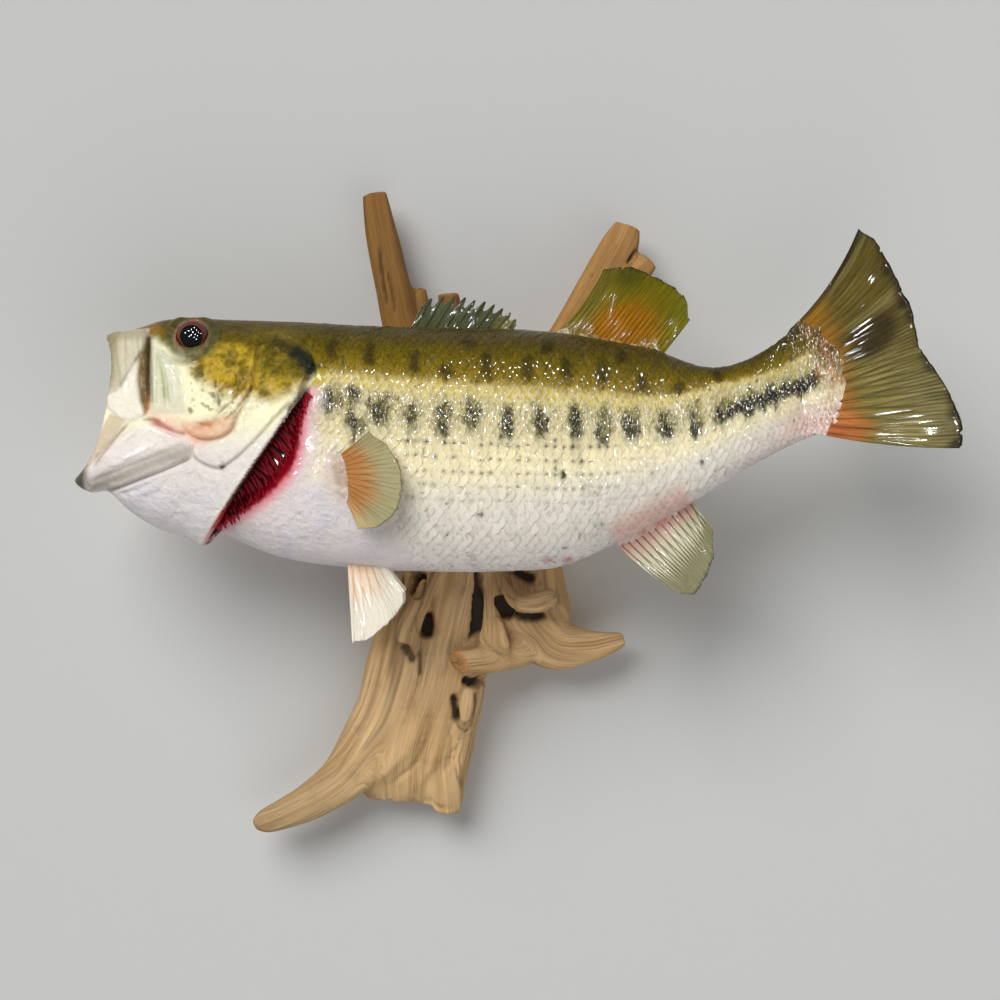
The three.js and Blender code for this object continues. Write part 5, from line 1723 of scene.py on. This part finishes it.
# Each limb from its thick end to its thin one: x, z, half width, half depth, y of the middle line.
LIMBS = {
    "stem": ((1, 80, 22, 15, -20), (0, 62, 34, 21, -19), (-3, 19, 37, 25, -22), (-10, -33, 36, 26, -24),
             (-18, -82, 33, 26, -24), (-29, -125, 38, 26, -24), (-34, -150, 40.5, 26, -24),
             (-39.5, -176, 40.5, 25, -23), (-44, -200, 40, 23, -21), (-45, -219, 36, 18, -18),
             (-46, -232, 28, 12, -15)),
    "heel": ((-24, -176, 17, 16, -26), (-22, -206, 15.5, 15, -26), (-20.5, -224, 13, 13, -24),
             (-20, -239, 9.5, 9, -22)),
    "club": ((-27, -76, 6, 6, -46), (-36, -98, 7, 7, -55), (-43.5, -114, 8.5, 8, -60),
             (-47, -125, 7, 7, -61)),
    "strand": ((9, -48, 9, 10, -34), (8, -80, 7, 9, -38), (8.5, -104, 7.5, 9, -43), (10, -120, 10, 10, -46),
               (12, -134, 12, 9, -42)),
    "knot": ((-6, -154, 6, 6, -40), (-7, -166, 6.2, 6, -43.5), (-8, -177, 4.5, 4.5, -43)),
    "twig": ((-28, 66, 8, 8, -20), (-36, 90, 6.5, 6.5, -22), (-37.5, 106, 4.5, 4.5, -24)),
    "sawn": ((-14, 66, 9, 9, -22), (-18, 88, 8.5, 8.5, -26), (-19, 102, 8, 8, -30)),
    "root_left": ((-51, -112, 14, 16, -25), (-53, -140, 18, 18, -25), (-59, -168, 20, 19, -25),
                  (-71, -193, 20, 18, -25), (-89, -215, 16, 14.5, -26), (-108, -229, 13.4, 12, -28),
                  (-126, -237.5, 11, 10, -30), (-139, -242.5, 8.8, 8, -32), (-146, -245.5, 5, 5, -32)),
    "root_right": ((26, -30, 24, 20, -20), (32, -82, 26, 22, -22), (37, -110, 27, 21, -22),
                   (52, -127, 18.5, 16, -24), (72, -129, 11.5, 11, -28), (88, -126, 8, 7.5, -30),
                   (96, -124, 5, 5, -30)),
    "bar": ((11, -74, 3.4, 5, -40), (18, -89, 4.4, 5.5, -50), (25, -98, 6.2, 7, -57),
            (36, -99, 7.6, 7.5, -60), (46, -96, 7.4, 7, -60), (51, -94.5, 4.6, 5, -60)),
    "branch_left": ((-24, 30, 17, 15, -18), (-47, 72, 14, 13, -20), (-56, 108, 12.5, 12, -22),
                    (-63, 141, 11.5, 10.5, -24), (-67.5, 168, 9, 8, -26)),
    "branch_right": ((34, 30, 17, 16, -18), (61, 76, 14.5, 15, -20), (80, 108, 15, 13, -22),
                     (93, 133, 13.5, 11, -24), (98.5, 147, 9.5, 8, -25)),
    "split": ((80, 92, 10, 8, -22), (98, 110, 11, 9, -24), (113, 124, 7.5, 7, -26)),
    "stub": ((48, -124, 13, 9, -22), (27, -131, 12.5, 12, -31), (8, -136, 10.5, 10, -45),
             (-6, -137, 8.2, 8.6, -56), (-20, -138, 7.4, 7.8, -66)),
}
WOOD_POWER = 0.8
WOOD_NODES = ("driftwood_trunk", "driftwood_root_left", "driftwood_root_right", "driftwood_branch_left",
              "driftwood_branch_right", "driftwood_stub")
# The plane that the stub is sawn through: a place on it and the way it faces.
SAWN = ((-12.5, -60, -137.5), (-0.62, -0.70, -0.34))
# Hollows in the front of the wood, carved in and darkened with painted shade: a line of x, z, half width, how
# deep, how dark.
HOLLOWS = (
    (((-38, -76), (-38.5, -86), (-42, -98)), 4.6, 9.0, 1.0),
    (((-52, -78), (-53, -88), (-54, -99)), 4.0, 7.0, 1.0),
    (((-33.5, -103), (-32.5, -114), (-33.5, -125)), 4.2, 12.0, 1.0),
    (((-50, -124), (-45, -131), (-40, -140)), 2.6, 5.0, 0.85),
    (((-39, -127), (-37.5, -138), (-38, -150)), 1.7, 3.5, 0.7),
    (((0.5, -66), (0.7, -86), (0.4, -104), (-1.5, -118), (-7.0, -130)), 2.6, 9.0, 1.0),
    (((17.5, -92), (18.5, -103), (21.0, -113)), 4.8, 10.0, 1.0),
    (((20, -106), (32, -109.5), (48, -107)), 2.8, 6.0, 1.0),
    (((19, -76), (29, -81.5), (40, -86)), 3.8, 7.0, 1.0),
    (((-12, -148), (-3, -151), (8, -150)), 3.4, 7.0, 1.0),
    (((-14.6, -155), (-15.2, -167), (-12.8, -181)), 2.3, 6.0, 1.0),
    (((-1.0, -156), (-0.6, -166), (-3.2, -177)), 1.1, 1.8, 0.5),
    (((-66, -236), (-60, -233), (-54, -231)), 2.4, 4.0, 1.0),
    (((-41, -234.5), (-36, -235.5), (-32, -237)), 2.4, 4.0, 1.0),
    (((97, 120), (100.5, 126), (104.5, 132)), 1.2, 2.5, 0.95),
    (((-58, 88), (-62, 112), (-65, 140)), 1.3, 2.0, 0.7),
    (((-53, 84), (-56, 104), (-60, 122)), 1.0, 1.4, 0.6),
)
# Long swells and furrows that run with the fibres: a line of x, z, half width and height.
FLUTES = (
    (((-17, -72), (-14, -96), (-18, -124), (-24, -150)), 9.0, 2.2),
    (((-40, -132), (-41, -152), (-43, -170), (-50, -188)), 2.4, -1.8),
    (((-56, -142), (-60, -170), (-74, -196), (-98, -216)), 6.0, 1.6),
    (((-34, -150), (-38, -176), (-50, -200), (-74, -220), (-96, -233)), 4.0, 2.4),
    (((-28, -160), (-31, -184), (-42, -206), (-62, -224)), 1.8, -2.0),
    (((-23, -168), (-24, -190), (-32, -210), (-46, -224)), 3.4, 2.0),
    (((-17, -176), (-17, -198), (-24, -216)), 1.6, -1.6),
    (((-9, -184), (-11, -206), (-16, -228)), 3.6, 1.4),
    (((34, -104), (52, -113), (72, -119), (88, -122)), 2.6, 1.5),
    (((26, -114), (44, -121), (64, -127), (84, -127)), 1.5, -1.3),
    (((52, -86), (58, -104), (74, -116)), 3.0, 1.3),
    (((43, -92), (48, -108), (62, -118)), 1.3, -1.3),
)


def limb_surface(rows, t, angle, grow):
    rows = np.array(rows, float)
    x, z, wide, deep, y = np.moveaxis(spline(rows, t), -1, 0)
    ahead = spline(rows[:, :2], np.clip(t + 0.01, 0, 1)) - spline(rows[:, :2], np.clip(t - 0.01, 0, 1))
    ahead = ahead / np.linalg.norm(ahead, axis=-1, keepdims=True)
    across = np.sign(np.cos(angle)) * np.abs(np.cos(angle)) ** WOOD_POWER
    out = np.sign(np.sin(angle)) * np.abs(np.sin(angle)) ** WOOD_POWER
    lump = 1 + 0.05 * np.cos(3 * angle + 2.2 * t)
    sideways = across * (wide * lump + grow)
    y = y + out * (deep * lump + grow)
    return np.stack((x + ahead[..., 1] * sideways, y, z - ahead[..., 0] * sideways), -1)


def limb_mesh(rows, grow):
    return closed_loft(partial(limb_surface, rows), 40, 10 * (len(rows) - 1), grow)


def sawn_through(mesh):
    """The stub's end cut off slantwise, flat, as a saw leaves it."""
    place, facing = SAWN
    bm = bmesh.new()
    bm.from_mesh(mesh)
    cut = bmesh.ops.bisect_plane(bm, geom=bm.verts[:] + bm.edges[:] + bm.faces[:], dist=1e-6,
                                 plane_co=Vector(place) * MM, plane_no=facing, clear_outer=True)
    rim = [item for item in cut["geom_cut"] if isinstance(item, bmesh.types.BMEdge)]
    bmesh.ops.holes_fill(bm, edges=rim, sides=0)
    bmesh.ops.recalc_face_normals(bm, faces=bm.faces)
    bm.to_mesh(mesh)
    bm.free()
    return mesh


FIBRE_AXES = ("fibre_x", "fibre_y", "fibre_run")
WOOD_INSET = -0.9  # the limbs start this much thinner, to leave room for the carving
BACK_OF_WOOD = 0.3  # as far back as the carving may push the wood before it is sawn flat
# Rounds of smoothing for the wood, for the stub's sawn end and to find the crevices that get painted shade.
WOOD_SMOOTHING, SAWN_SMOOTHING, CREVICE_SHADE_SMOOTHING = 6, 1, 24
# How far round the trunk the fibres of a limb join those of the stem, in millimetres.
GRAIN_SHIFT = {"root_left": 14.0, "root_right": -18.0, "heel": -20.0, "strand": -14.0, "club": 10.0,
               "bar": -12.0}


def fibre_map(places):
    """How far each place lies round its limb from the front, out from it and along it.

    Where limbs meet, their fibres run smoothly into one another."""
    total = np.zeros((len(places), 3))
    weight = np.zeros(len(places))
    for name, rows in LIMBS.items():
        fine = spline(np.array(rows, float), np.linspace(0, 1, 10 * len(rows)))
        axis = fine[:, [0, 4, 1]]
        ahead = np.gradient(axis, axis=0)
        step = np.linalg.norm(ahead, axis=1)
        ahead /= step[:, None]
        # fibres are measured down from the top, so that limbs agree where they meet
        run = (80 - rows[0][1]) + np.cumsum(step) * (-1 if rows[-1][1] > rows[0][1] + 20 else 1)
        near = np.argmin((axis * axis).sum(1) - 2 * places @ axis.T, axis=1)
        off = places - axis[near]
        along = np.clip((off * ahead[near]).sum(1), -step[near], step[near])
        off -= along[:, None] * ahead[near]
        level = np.hypot(ahead[near, 0], ahead[near, 2])
        across = (off[:, 0] * ahead[near, 2] - off[:, 2] * ahead[near, 0]) / level
        rest = (off * off).sum(1) - across ** 2 - off[:, 1] ** 2
        wide, deep = fine[near, 2], fine[near, 3]
        away = (across / wide) ** 2 + (off[:, 1] / deep) ** 2 + np.maximum(rest, 0) / wide ** 2
        turn = np.arctan2(across / wide, -off[:, 1] / deep)
        share = (0.3 + away) ** -6
        found = (turn * 0.8 * wide + GRAIN_SHIFT.get(name, 0), 12 * (np.sqrt(away) - 1), run[near])
        total += np.column_stack(found) * share[:, None]
        weight += share
    wavy = np.column_stack([cloud(places, (26, 26, 60), 40 + i) for i in range(3)])
    return total / weight[:, None] + wavy * (2.5, 0, 0)


def sawn_share(places):
    """1 on the sawn face of the stub and close round it."""
    place, facing = (np.array(value, float) for value in SAWN)
    facing /= np.linalg.norm(facing)
    off = places - place
    height = off @ facing
    away = np.linalg.norm(off - height[:, None] * facing, axis=1)
    return (1 - ease(np.abs(height), 0.8, 2.2)) * (1 - ease(away, 9, 11))


def driftwood_form(voxel):
    limbs = {name: limb_mesh(rows, WOOD_INSET) for name, rows in LIMBS.items()}
    sawn_through(limbs["stub"])
    wood = placed(joined(limbs.values(), "driftwood"), "driftwood")
    remeshed(wood, voxel)
    mesh = wood.data
    edges = edges_of(mesh)
    places = corners_of(mesh) / MM
    sawn = sawn_share(places)
    smooth, sharp = relaxed(places, edges, WOOD_SMOOTHING), relaxed(places, edges, SAWN_SMOOTHING)
    places = blend(smooth, sharp, sawn[:, None])
    fibres = fibre_map(places)
    move_corners(mesh, places * MM)
    facings = facings_of(mesh)
    x, _, z = places.T
    front = ease(-facings[:, 1], -0.2, 0.3)
    lift = np.zeros(len(x))
    dark = np.zeros(len(x))
    wobble = cloud(fibres, (5.0, 5.0, 16.0), 2) * 1.3 + cloud(places, 2.6, 8) * 0.9
    # each hollow is carved in and darkened with painted shade
    for points, half_width, deep, gloom in HOLLOWS:
        shake = wobble * min(half_width / 3.6, 1)
        hollow = ease(stroke(x + shake, z - shake, points, half_width, 0.3) + 0.1 * wobble, 0.12, 0.8) * front
        lift -= deep * hollow
        dark = np.maximum(dark, gloom * ease(hollow, 0.25, 0.95))
    for points, half_width, height in FLUTES:
        lift += height * stroke(x + wobble, z, points, half_width, 0.3) * front
    broad = layered_cloud(fibres, (10.0, 30.0, 150.0), 2, 3)
    ridged = 1 - np.abs(layered_cloud(fibres, (8.0, 24.0, 110.0), 2, 9))
    cracks = ease(ridged, 0.9, 1.0) * ease(cloud(fibres, (22.0, 22.0, 60.0), 14), -0.1, 0.45)
    fine = layered_cloud(fibres, (2.4, 7.0, 60.0), 3, 25)
    lift += (0.55 * broad + 0.3 * fine - 1.1 * cracks - 0.2) * (1 - sawn)
    # painted shade darkens the carved cracks
    dark = np.maximum(dark, cracks * 0.45) * (1 - sawn)
    # the broken lower end of the trunk
    lift -= 3.0 * ease(-z, 226, 236) * ease(x, -80, -66) * ease(layered_cloud(places, 7.0, 2, 31), -0.3, 0.6)
    carved = places + facings * lift[:, None]
    carved[:, 1] = np.minimum(carved[:, 1], BACK_OF_WOOD)
    # painted shade darkens whatever is lower than the wood round it
    sunk = np.sum((relaxed(carved, edges, CREVICE_SHADE_SMOOTHING) - carved) * facings, axis=1)
    dark = np.maximum(dark, ease(sunk, 0.4, 2.6) * 0.36 * (1 - sawn))
    dark *= 1 - ease(carved[:, 1], -4, -1)  # no painted shade on the sawn back
    move_corners(mesh, carved * MM)
    back = placed(prism(((-200, -300), (200, -300), (200, 220), (-200, 220)), 0.0, 60.0), "wall_side")
    seat = placed(closed_loft(trunk_surface, 120, 140, -COAT_DEPTH * 0.7), "seat")
    return wood, fibres, dark, sawn, back, seat


def driftwood(voxel):
    wood, fibres, dark, sawn, back, seat = driftwood_form(voxel)
    note(wood.data, "sawn", sawn)
    note(wood.data, "dark", dark)
    for i, axis in enumerate(FIBRE_AXES):
        note(wood.data, axis, fibres[:, i])
    combined(wood, back, "DIFFERENCE")
    combined(wood, seat, "DIFFERENCE")
    low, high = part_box("wall_hanger")
    low, high = Vector(low) / MM, Vector(high) / MM
    pocket = ((low.x - 0.5, low.z - 0.5), (high.x + 0.5, low.z - 0.5), (high.x + 0.5, high.z + 0.5),
              (low.x - 0.5, high.z + 0.5))
    combined(wood, placed(prism(pocket, low.y - 0.2, 5.0), "pocket"), "DIFFERENCE")
    smooth_shaded(wood.data)
    return wood


def wood_finish(settings):
    f = Finish("weathered_driftwood")
    fibre = f.node("CombineXYZ", sockets={i: f.value(axis) for i, axis in enumerate(FIBRE_AXES)})
    here = f.here()
    # on the flat sawn back the grain runs straight up and down
    split = f.node("SeparateXYZ", sockets={0: here}).socket.node.outputs
    at_back = f.between(Wire(f, split[1]), -0.0006, -0.0003)
    fibre = f.mix(at_back, fibre, f.stretched(here, (1000, 1000, 1000)))
    broad = f.noise(f.stretched(fibre, (0.07, 0.07, 0.010)), 1.0, 4, 0.6)
    streak = f.noise(f.stretched(fibre, (0.26, 0.045, 0.008)), 1.0, 5, 0.62)
    hair = f.noise(f.stretched(fibre, (1.7, 0.22, 0.02)), 1.0, 3, 0.6)
    tan, honey, brown = tuple(settings.tan), tuple(settings.honey), tuple(settings.brown)
    base = f.mix(f.between(broad, 0.35, 0.65), honey, tan)
    # the grain shows strongly in some patches and hardly at all in others
    patch = f.between(f.noise(here, 42, 3, 0.6), 0.38, 0.62, 0.15, 1.0)
    base = f.mix(f.between(streak, 0.34, 0.62, 0.5, 0.0), base, brown)
    base = f.mix(f.between(hair, 0.36, 0.5, 0.5, 0.0) * patch, base, (0.17, 0.09, 0.035))
    # painted highlights: the palest fibres are lightened towards pale gold
    base = f.mix(f.between(hair, 0.55, 0.75, 0.0, 0.2), base, (0.80, 0.60, 0.36))
    dirt = f.between(f.noise(here, 60, 4, 0.6), 0.54, 0.74, 0.0, 0.25)
    base = f.mix(dirt, base, (0.2, 0.13, 0.07))
    across, height = Wire(f, split[0]), Wire(f, split[2])
    # the branches above the fish are browner than the foot, the left one most
    deep = f.mix(f.between(across, -0.03, 0.02), (0.40, 0.27, 0.07), (0.66, 0.52, 0.30))
    base = f.mix(f.between(height, 0.0, 0.07, 0.0, 0.95), base, f.mix(1.0, base, deep, "MULTIPLY"))
    # painted shade: the far left of the wood is darkened, where the light from the left falls strongest
    base = f.mix(f.between(across, -0.06, -0.11), base, f.mix(1.0, base, (0.74, 0.76, 0.80), "MULTIPLY"))
    # painted shade: the hollows, cracks and crevices are darkened almost to black
    base = f.mix(f.value("dark") * 0.94, base, (0.018, 0.012, 0.007))
    rings = f.noise(here, 350, 2, 0.5)
    base = f.mix(f.value("sawn"), base, f.mix(rings, (0.60, 0.30, 0.11), (0.40, 0.18, 0.06)))
    relief = f.bump(streak, 0.0010)
    relief = f.bump(hair, 0.0007, relief)
    return f.done(base_color=base, roughness=f.between(hair, 0.3, 0.7, 0.62, 0.85), normal=relief,
                  specular_ior_level=0.3)


def hanger_finish():
    f = Finish("zinc_plate")
    here = f.here()
    brush = f.noise(f.stretched(here, (1, 1, 30)), 300, 3)
    tint = f.mix(f.noise(here, 80, 4), (0.56, 0.56, 0.54), (0.7, 0.7, 0.68))
    return f.done(base_color=tint, metallic=1.0, roughness=f.between(brush, 0.3, 0.7, 0.25, 0.42),
                  normal=f.bump(brush, 0.0001))


# ---- Settings, operators and panel ------------------------------------------------------------

def pot(name, description, red, green, blue):
    """A colour setting whose default is given in display steps."""
    return bpy.props.FloatVectorProperty(name=name, description=description, subtype="COLOR", size=3,
                                         min=0.0, max=1.0, default=tuple(tone(red, green, blue)))


def dial(name, description, default, kind=bpy.props.FloatProperty, **limits):
    return kind(name=name, description=description, default=default, **limits)


class BassPaint(bpy.types.PropertyGroup):
    olive_brown: pot("Olive brown", "The top of the back and the blotches of the head", 74, 62, 16)
    olive: pot("Olive", "The back", 106, 90, 4)
    olive_gold: pot("Olive gold", "The lower edge of the back", 136, 112, 2)
    gold: pot("Gold", "The line where the back ends", 202, 176, 50)
    silver: pot("Silver", "The band that the side stripe lies in", 162, 144, 44)
    cream: pot("Cream", "The flank under the stripe", 246, 230, 176)
    white: pot("White", "The lower flank", 230, 223, 209)
    belly: pot("Belly", "The belly", 234, 230, 230)
    black_green: pot("Stripe", "The dark marks of the side stripe", 30, 34, 26)
    pink: pot("Pink", "The blush at the fins' roots and the mouth", 230, 146, 128)
    orange: pot("Orange", "The warm lines of the snout", 206, 124, 66)
    yellow: pot("Yellow", "The cheek and the gill cover", 194, 158, 0)
    maroon: pot("Maroon", "The floor of the gill opening", 70, 6, 12)
    crimson: pot("Crimson", "The edge of the gill opening", 170, 8, 34)
    # painted shade: the grey tan of the band along the lower jaw's underside
    grey_tan: pot("Grey tan", "The lower jaw's band", 160, 150, 134)
    mouth_pink: pot("Mouth pink", "The lining of the mouth", 226, 196, 178)


class BassSizes(bpy.types.PropertyGroup):
    skin_grain: dial("Skin grain", "How fine the skin is modelled", 0.0009, unit="LENGTH", subtype="DISTANCE",
                     min=0.0005, max=0.004, precision=4)
    skin_triangles: dial("Skin triangles", "The most triangles that the skin may have", 196000,
                         bpy.props.IntProperty)
    overlap: dial("Overlap", "A scale's length, in times the distance to the next", 1.9, min=1.2, max=3.0)
    width: dial("Width", "A scale's height, in times the height of its row", 1.0, min=0.8, max=1.3)
    fin_columns: dial("Fin columns", "Faces across a fin", 200, bpy.props.IntProperty)
    fin_rows: dial("Fin rows", "Faces along a fin's rays", 44, bpy.props.IntProperty)


class WoodSettings(bpy.types.PropertyGroup):
    grain: dial("Wood grain", "How fine the driftwood is modelled", 0.00125, unit="LENGTH",
                subtype="DISTANCE", min=0.0008, max=0.005, precision=5)
    tan: pot("Tan", "Weathered wood", 220, 184, 134)
    honey: pot("Honey", "Wood between the streaks", 206, 168, 114)
    brown: pot("Brown", "The dark streaks of the grain", 150, 110, 62)


class StageSettings(bpy.types.PropertyGroup):
    wall: pot("Wall", "The plain wall behind the mount", 192, 192, 190)
    key: dial("Key light", "Strength of the main light", 2.8, min=0.0)
    fill: dial("Fill light", "Strength of the light that fills the shadows", 0.95, min=0.0)
    glints: dial("Glints", "Power of each small lamp that makes the gloss shine", 3.2, unit="POWER", min=0.0)
    room: dial("Room light", "Strength of the light from all round", 0.15, min=0.0)


class BassOperator:
    """What every operator of the mount shares."""

    bl_options = {"REGISTER", "UNDO"}

    def execute(self, context):
        self.build(context.scene)
        return {"FINISHED"}


class BASS_OT_stage(BassOperator, bpy.types.Operator):
    """Put up the wall, the lights and the camera"""
    bl_idname = "bass.stage"
    bl_label = "Stage"

    def build(self, scene):
        lay_stage(scene.bass_stage)


class BASS_OT_skin(BassOperator, bpy.types.Operator):
    """Make the one skin of head, gill covers, jaws, throat, trunk and tail root"""
    bl_idname = "bass.skin"
    bl_label = "Skin"

    def build(self, scene):
        sizes = scene.bass_sizes
        skin = skin_shape(sizes.skin_grain / MM * (1), sizes.skin_triangles)
        paint_skin(skin.data)
        finished(skin, "fish_skin", skin_finish(), *SKIN_NODES)


class BASS_OT_scales(BassOperator, bpy.types.Operator):
    """Lay the solid scales over the skin"""
    bl_idname = "bass.scales"
    bl_label = "Scales"

    def build(self, scene):
        coat = CoatMap()
        sites = scale_sites(coat)
        finish = scale_finish()
        for side, word in SIDES:
            flank = FlankLie(coat, side)
            roots = flank.place(sites[:, 0], sites[:, 1], np.zeros(len(sites)))
            worn = sites[scaled_share(roots[:, 0], roots[:, 2]) > 0.1]
            for level, part in (("upper", worn[worn[:, 1] >= 0]), ("lower", worn[worn[:, 1] < 0])):
                piece = scales(flank, part, f"scales_{word}_{level}", scene.bass_sizes, body_markings)
                finished(piece, "fish_skin", finish)
            for name, (cover, thick, long, high, painted) in FIN_ROOTS.items():
                root = FinRootLie(name, side, cover, thick, long * 0.05)
                piece = scales(root, root.sites(long, high), f"{name}_scales_{word}",
                               scene.bass_sizes, painted)
                finished(piece, "fish_skin", finish)


class BASS_OT_fins(BassOperator, bpy.types.Operator):
    """Make the eight fins with their rays"""
    bl_idname = "bass.fins"
    bl_label = "Fins"

    def build(self, scene):
        sizes = scene.bass_sizes
        for name in FINS:
            piece = fin(name, sizes.fin_columns, sizes.fin_rows)
            slot = "pale_fins" if name.startswith("pe") else "fins"
            finished(piece, slot, fin_finish(name + "_lacquer"), name)


class BASS_OT_eyes(BassOperator, bpy.types.Operator):
    """Set the two glass eyes"""
    bl_idname = "bass.eyes"
    bl_label = "Glass eyes"

    def build(self, scene):
        finish = eye_finish()
        for side, word in SIDES:
            eye = placed(eye_ball(side), f"glass_eye_{word}")
            smooth_shaded(eye.data)
            finished(eye, "glass_eyes", finish, f"eye_{word}")


class BASS_OT_gills(BassOperator, bpy.types.Operator):
    """Comb the red gills into both openings"""
    bl_idname = "bass.gills"
    bl_label = "Gills"

    def build(self, scene):
        finish = gill_finish()
        for side, word in SIDES:
            finished(gill_combs(side, f"gill_comb_{word}"), "gills", finish, f"gills_{word}")


class BASS_OT_tongue(BassOperator, bpy.types.Operator):
    """Lay the tongue in the mouth"""
    bl_idname = "bass.tongue"
    bl_label = "Tongue"

    def build(self, scene):
        finished(tongue_form(), "tongue", tongue_finish(), "tongue")


class BASS_OT_driftwood(BassOperator, bpy.types.Operator):
    """Carve the driftwood that carries the fish"""
    bl_idname = "bass.driftwood"
    bl_label = "Driftwood"

    def build(self, scene):
        wood = driftwood(scene.bass_wood.grain / MM * (1))
        finished(wood, "driftwood", wood_finish(scene.bass_wood), *WOOD_NODES)


class BASS_OT_hanger(BassOperator, bpy.types.Operator):
    """Give the toothed plate in the back of the wood its zinc finish"""
    bl_idname = "bass.hanger"
    bl_label = "Wall hanger"

    def build(self, scene):
        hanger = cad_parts["wall_hanger"]
        hanger.data.materials.clear()
        hanger.data.materials.append(hanger_finish())


GROUPS = {"bass_paint": BassPaint, "bass_sizes": BassSizes, "bass_wood": WoodSettings,
          "bass_stage": StageSettings}
OPERATORS = (BASS_OT_stage, BASS_OT_skin, BASS_OT_scales, BASS_OT_fins, BASS_OT_eyes, BASS_OT_gills,
             BASS_OT_tongue, BASS_OT_driftwood, BASS_OT_hanger)


class BASS_PT_mount(bpy.types.Panel):
    """The mount's settings and the buttons that make its parts"""
    bl_idname = "BASS_PT_mount"
    bl_label = "Mounted bass"
    bl_space_type = "VIEW_3D"
    bl_region_type = "UI"
    bl_category = "Mounted bass"

    def draw(self, context):
        for name, group in GROUPS.items():
            column = self.layout.box().column()
            for setting in group.__annotations__:
                column.prop(getattr(context.scene, name), setting)
        for operator in OPERATORS:
            self.layout.operator(operator.bl_idname)


def register():
    for group in GROUPS.values():
        bpy.utils.register_class(group)
    for name, group in GROUPS.items():
        setattr(bpy.types.Scene, name, bpy.props.PointerProperty(type=group))
    for operator in OPERATORS:
        bpy.utils.register_class(operator)
    bpy.utils.register_class(BASS_PT_mount)


def unregister():
    bpy.utils.unregister_class(BASS_PT_mount)
    for operator in reversed(OPERATORS):
        bpy.utils.unregister_class(operator)
    for name, group in reversed(GROUPS.items()):
        delattr(bpy.types.Scene, name)
        bpy.utils.unregister_class(group)


def main():
    register()
    for operator in OPERATORS:
        group, name = operator.bl_idname.split(".")
        getattr(getattr(bpy.ops, group), name)()
    bpy.context.view_layer.update()


if __name__ == "__main__":
    main()
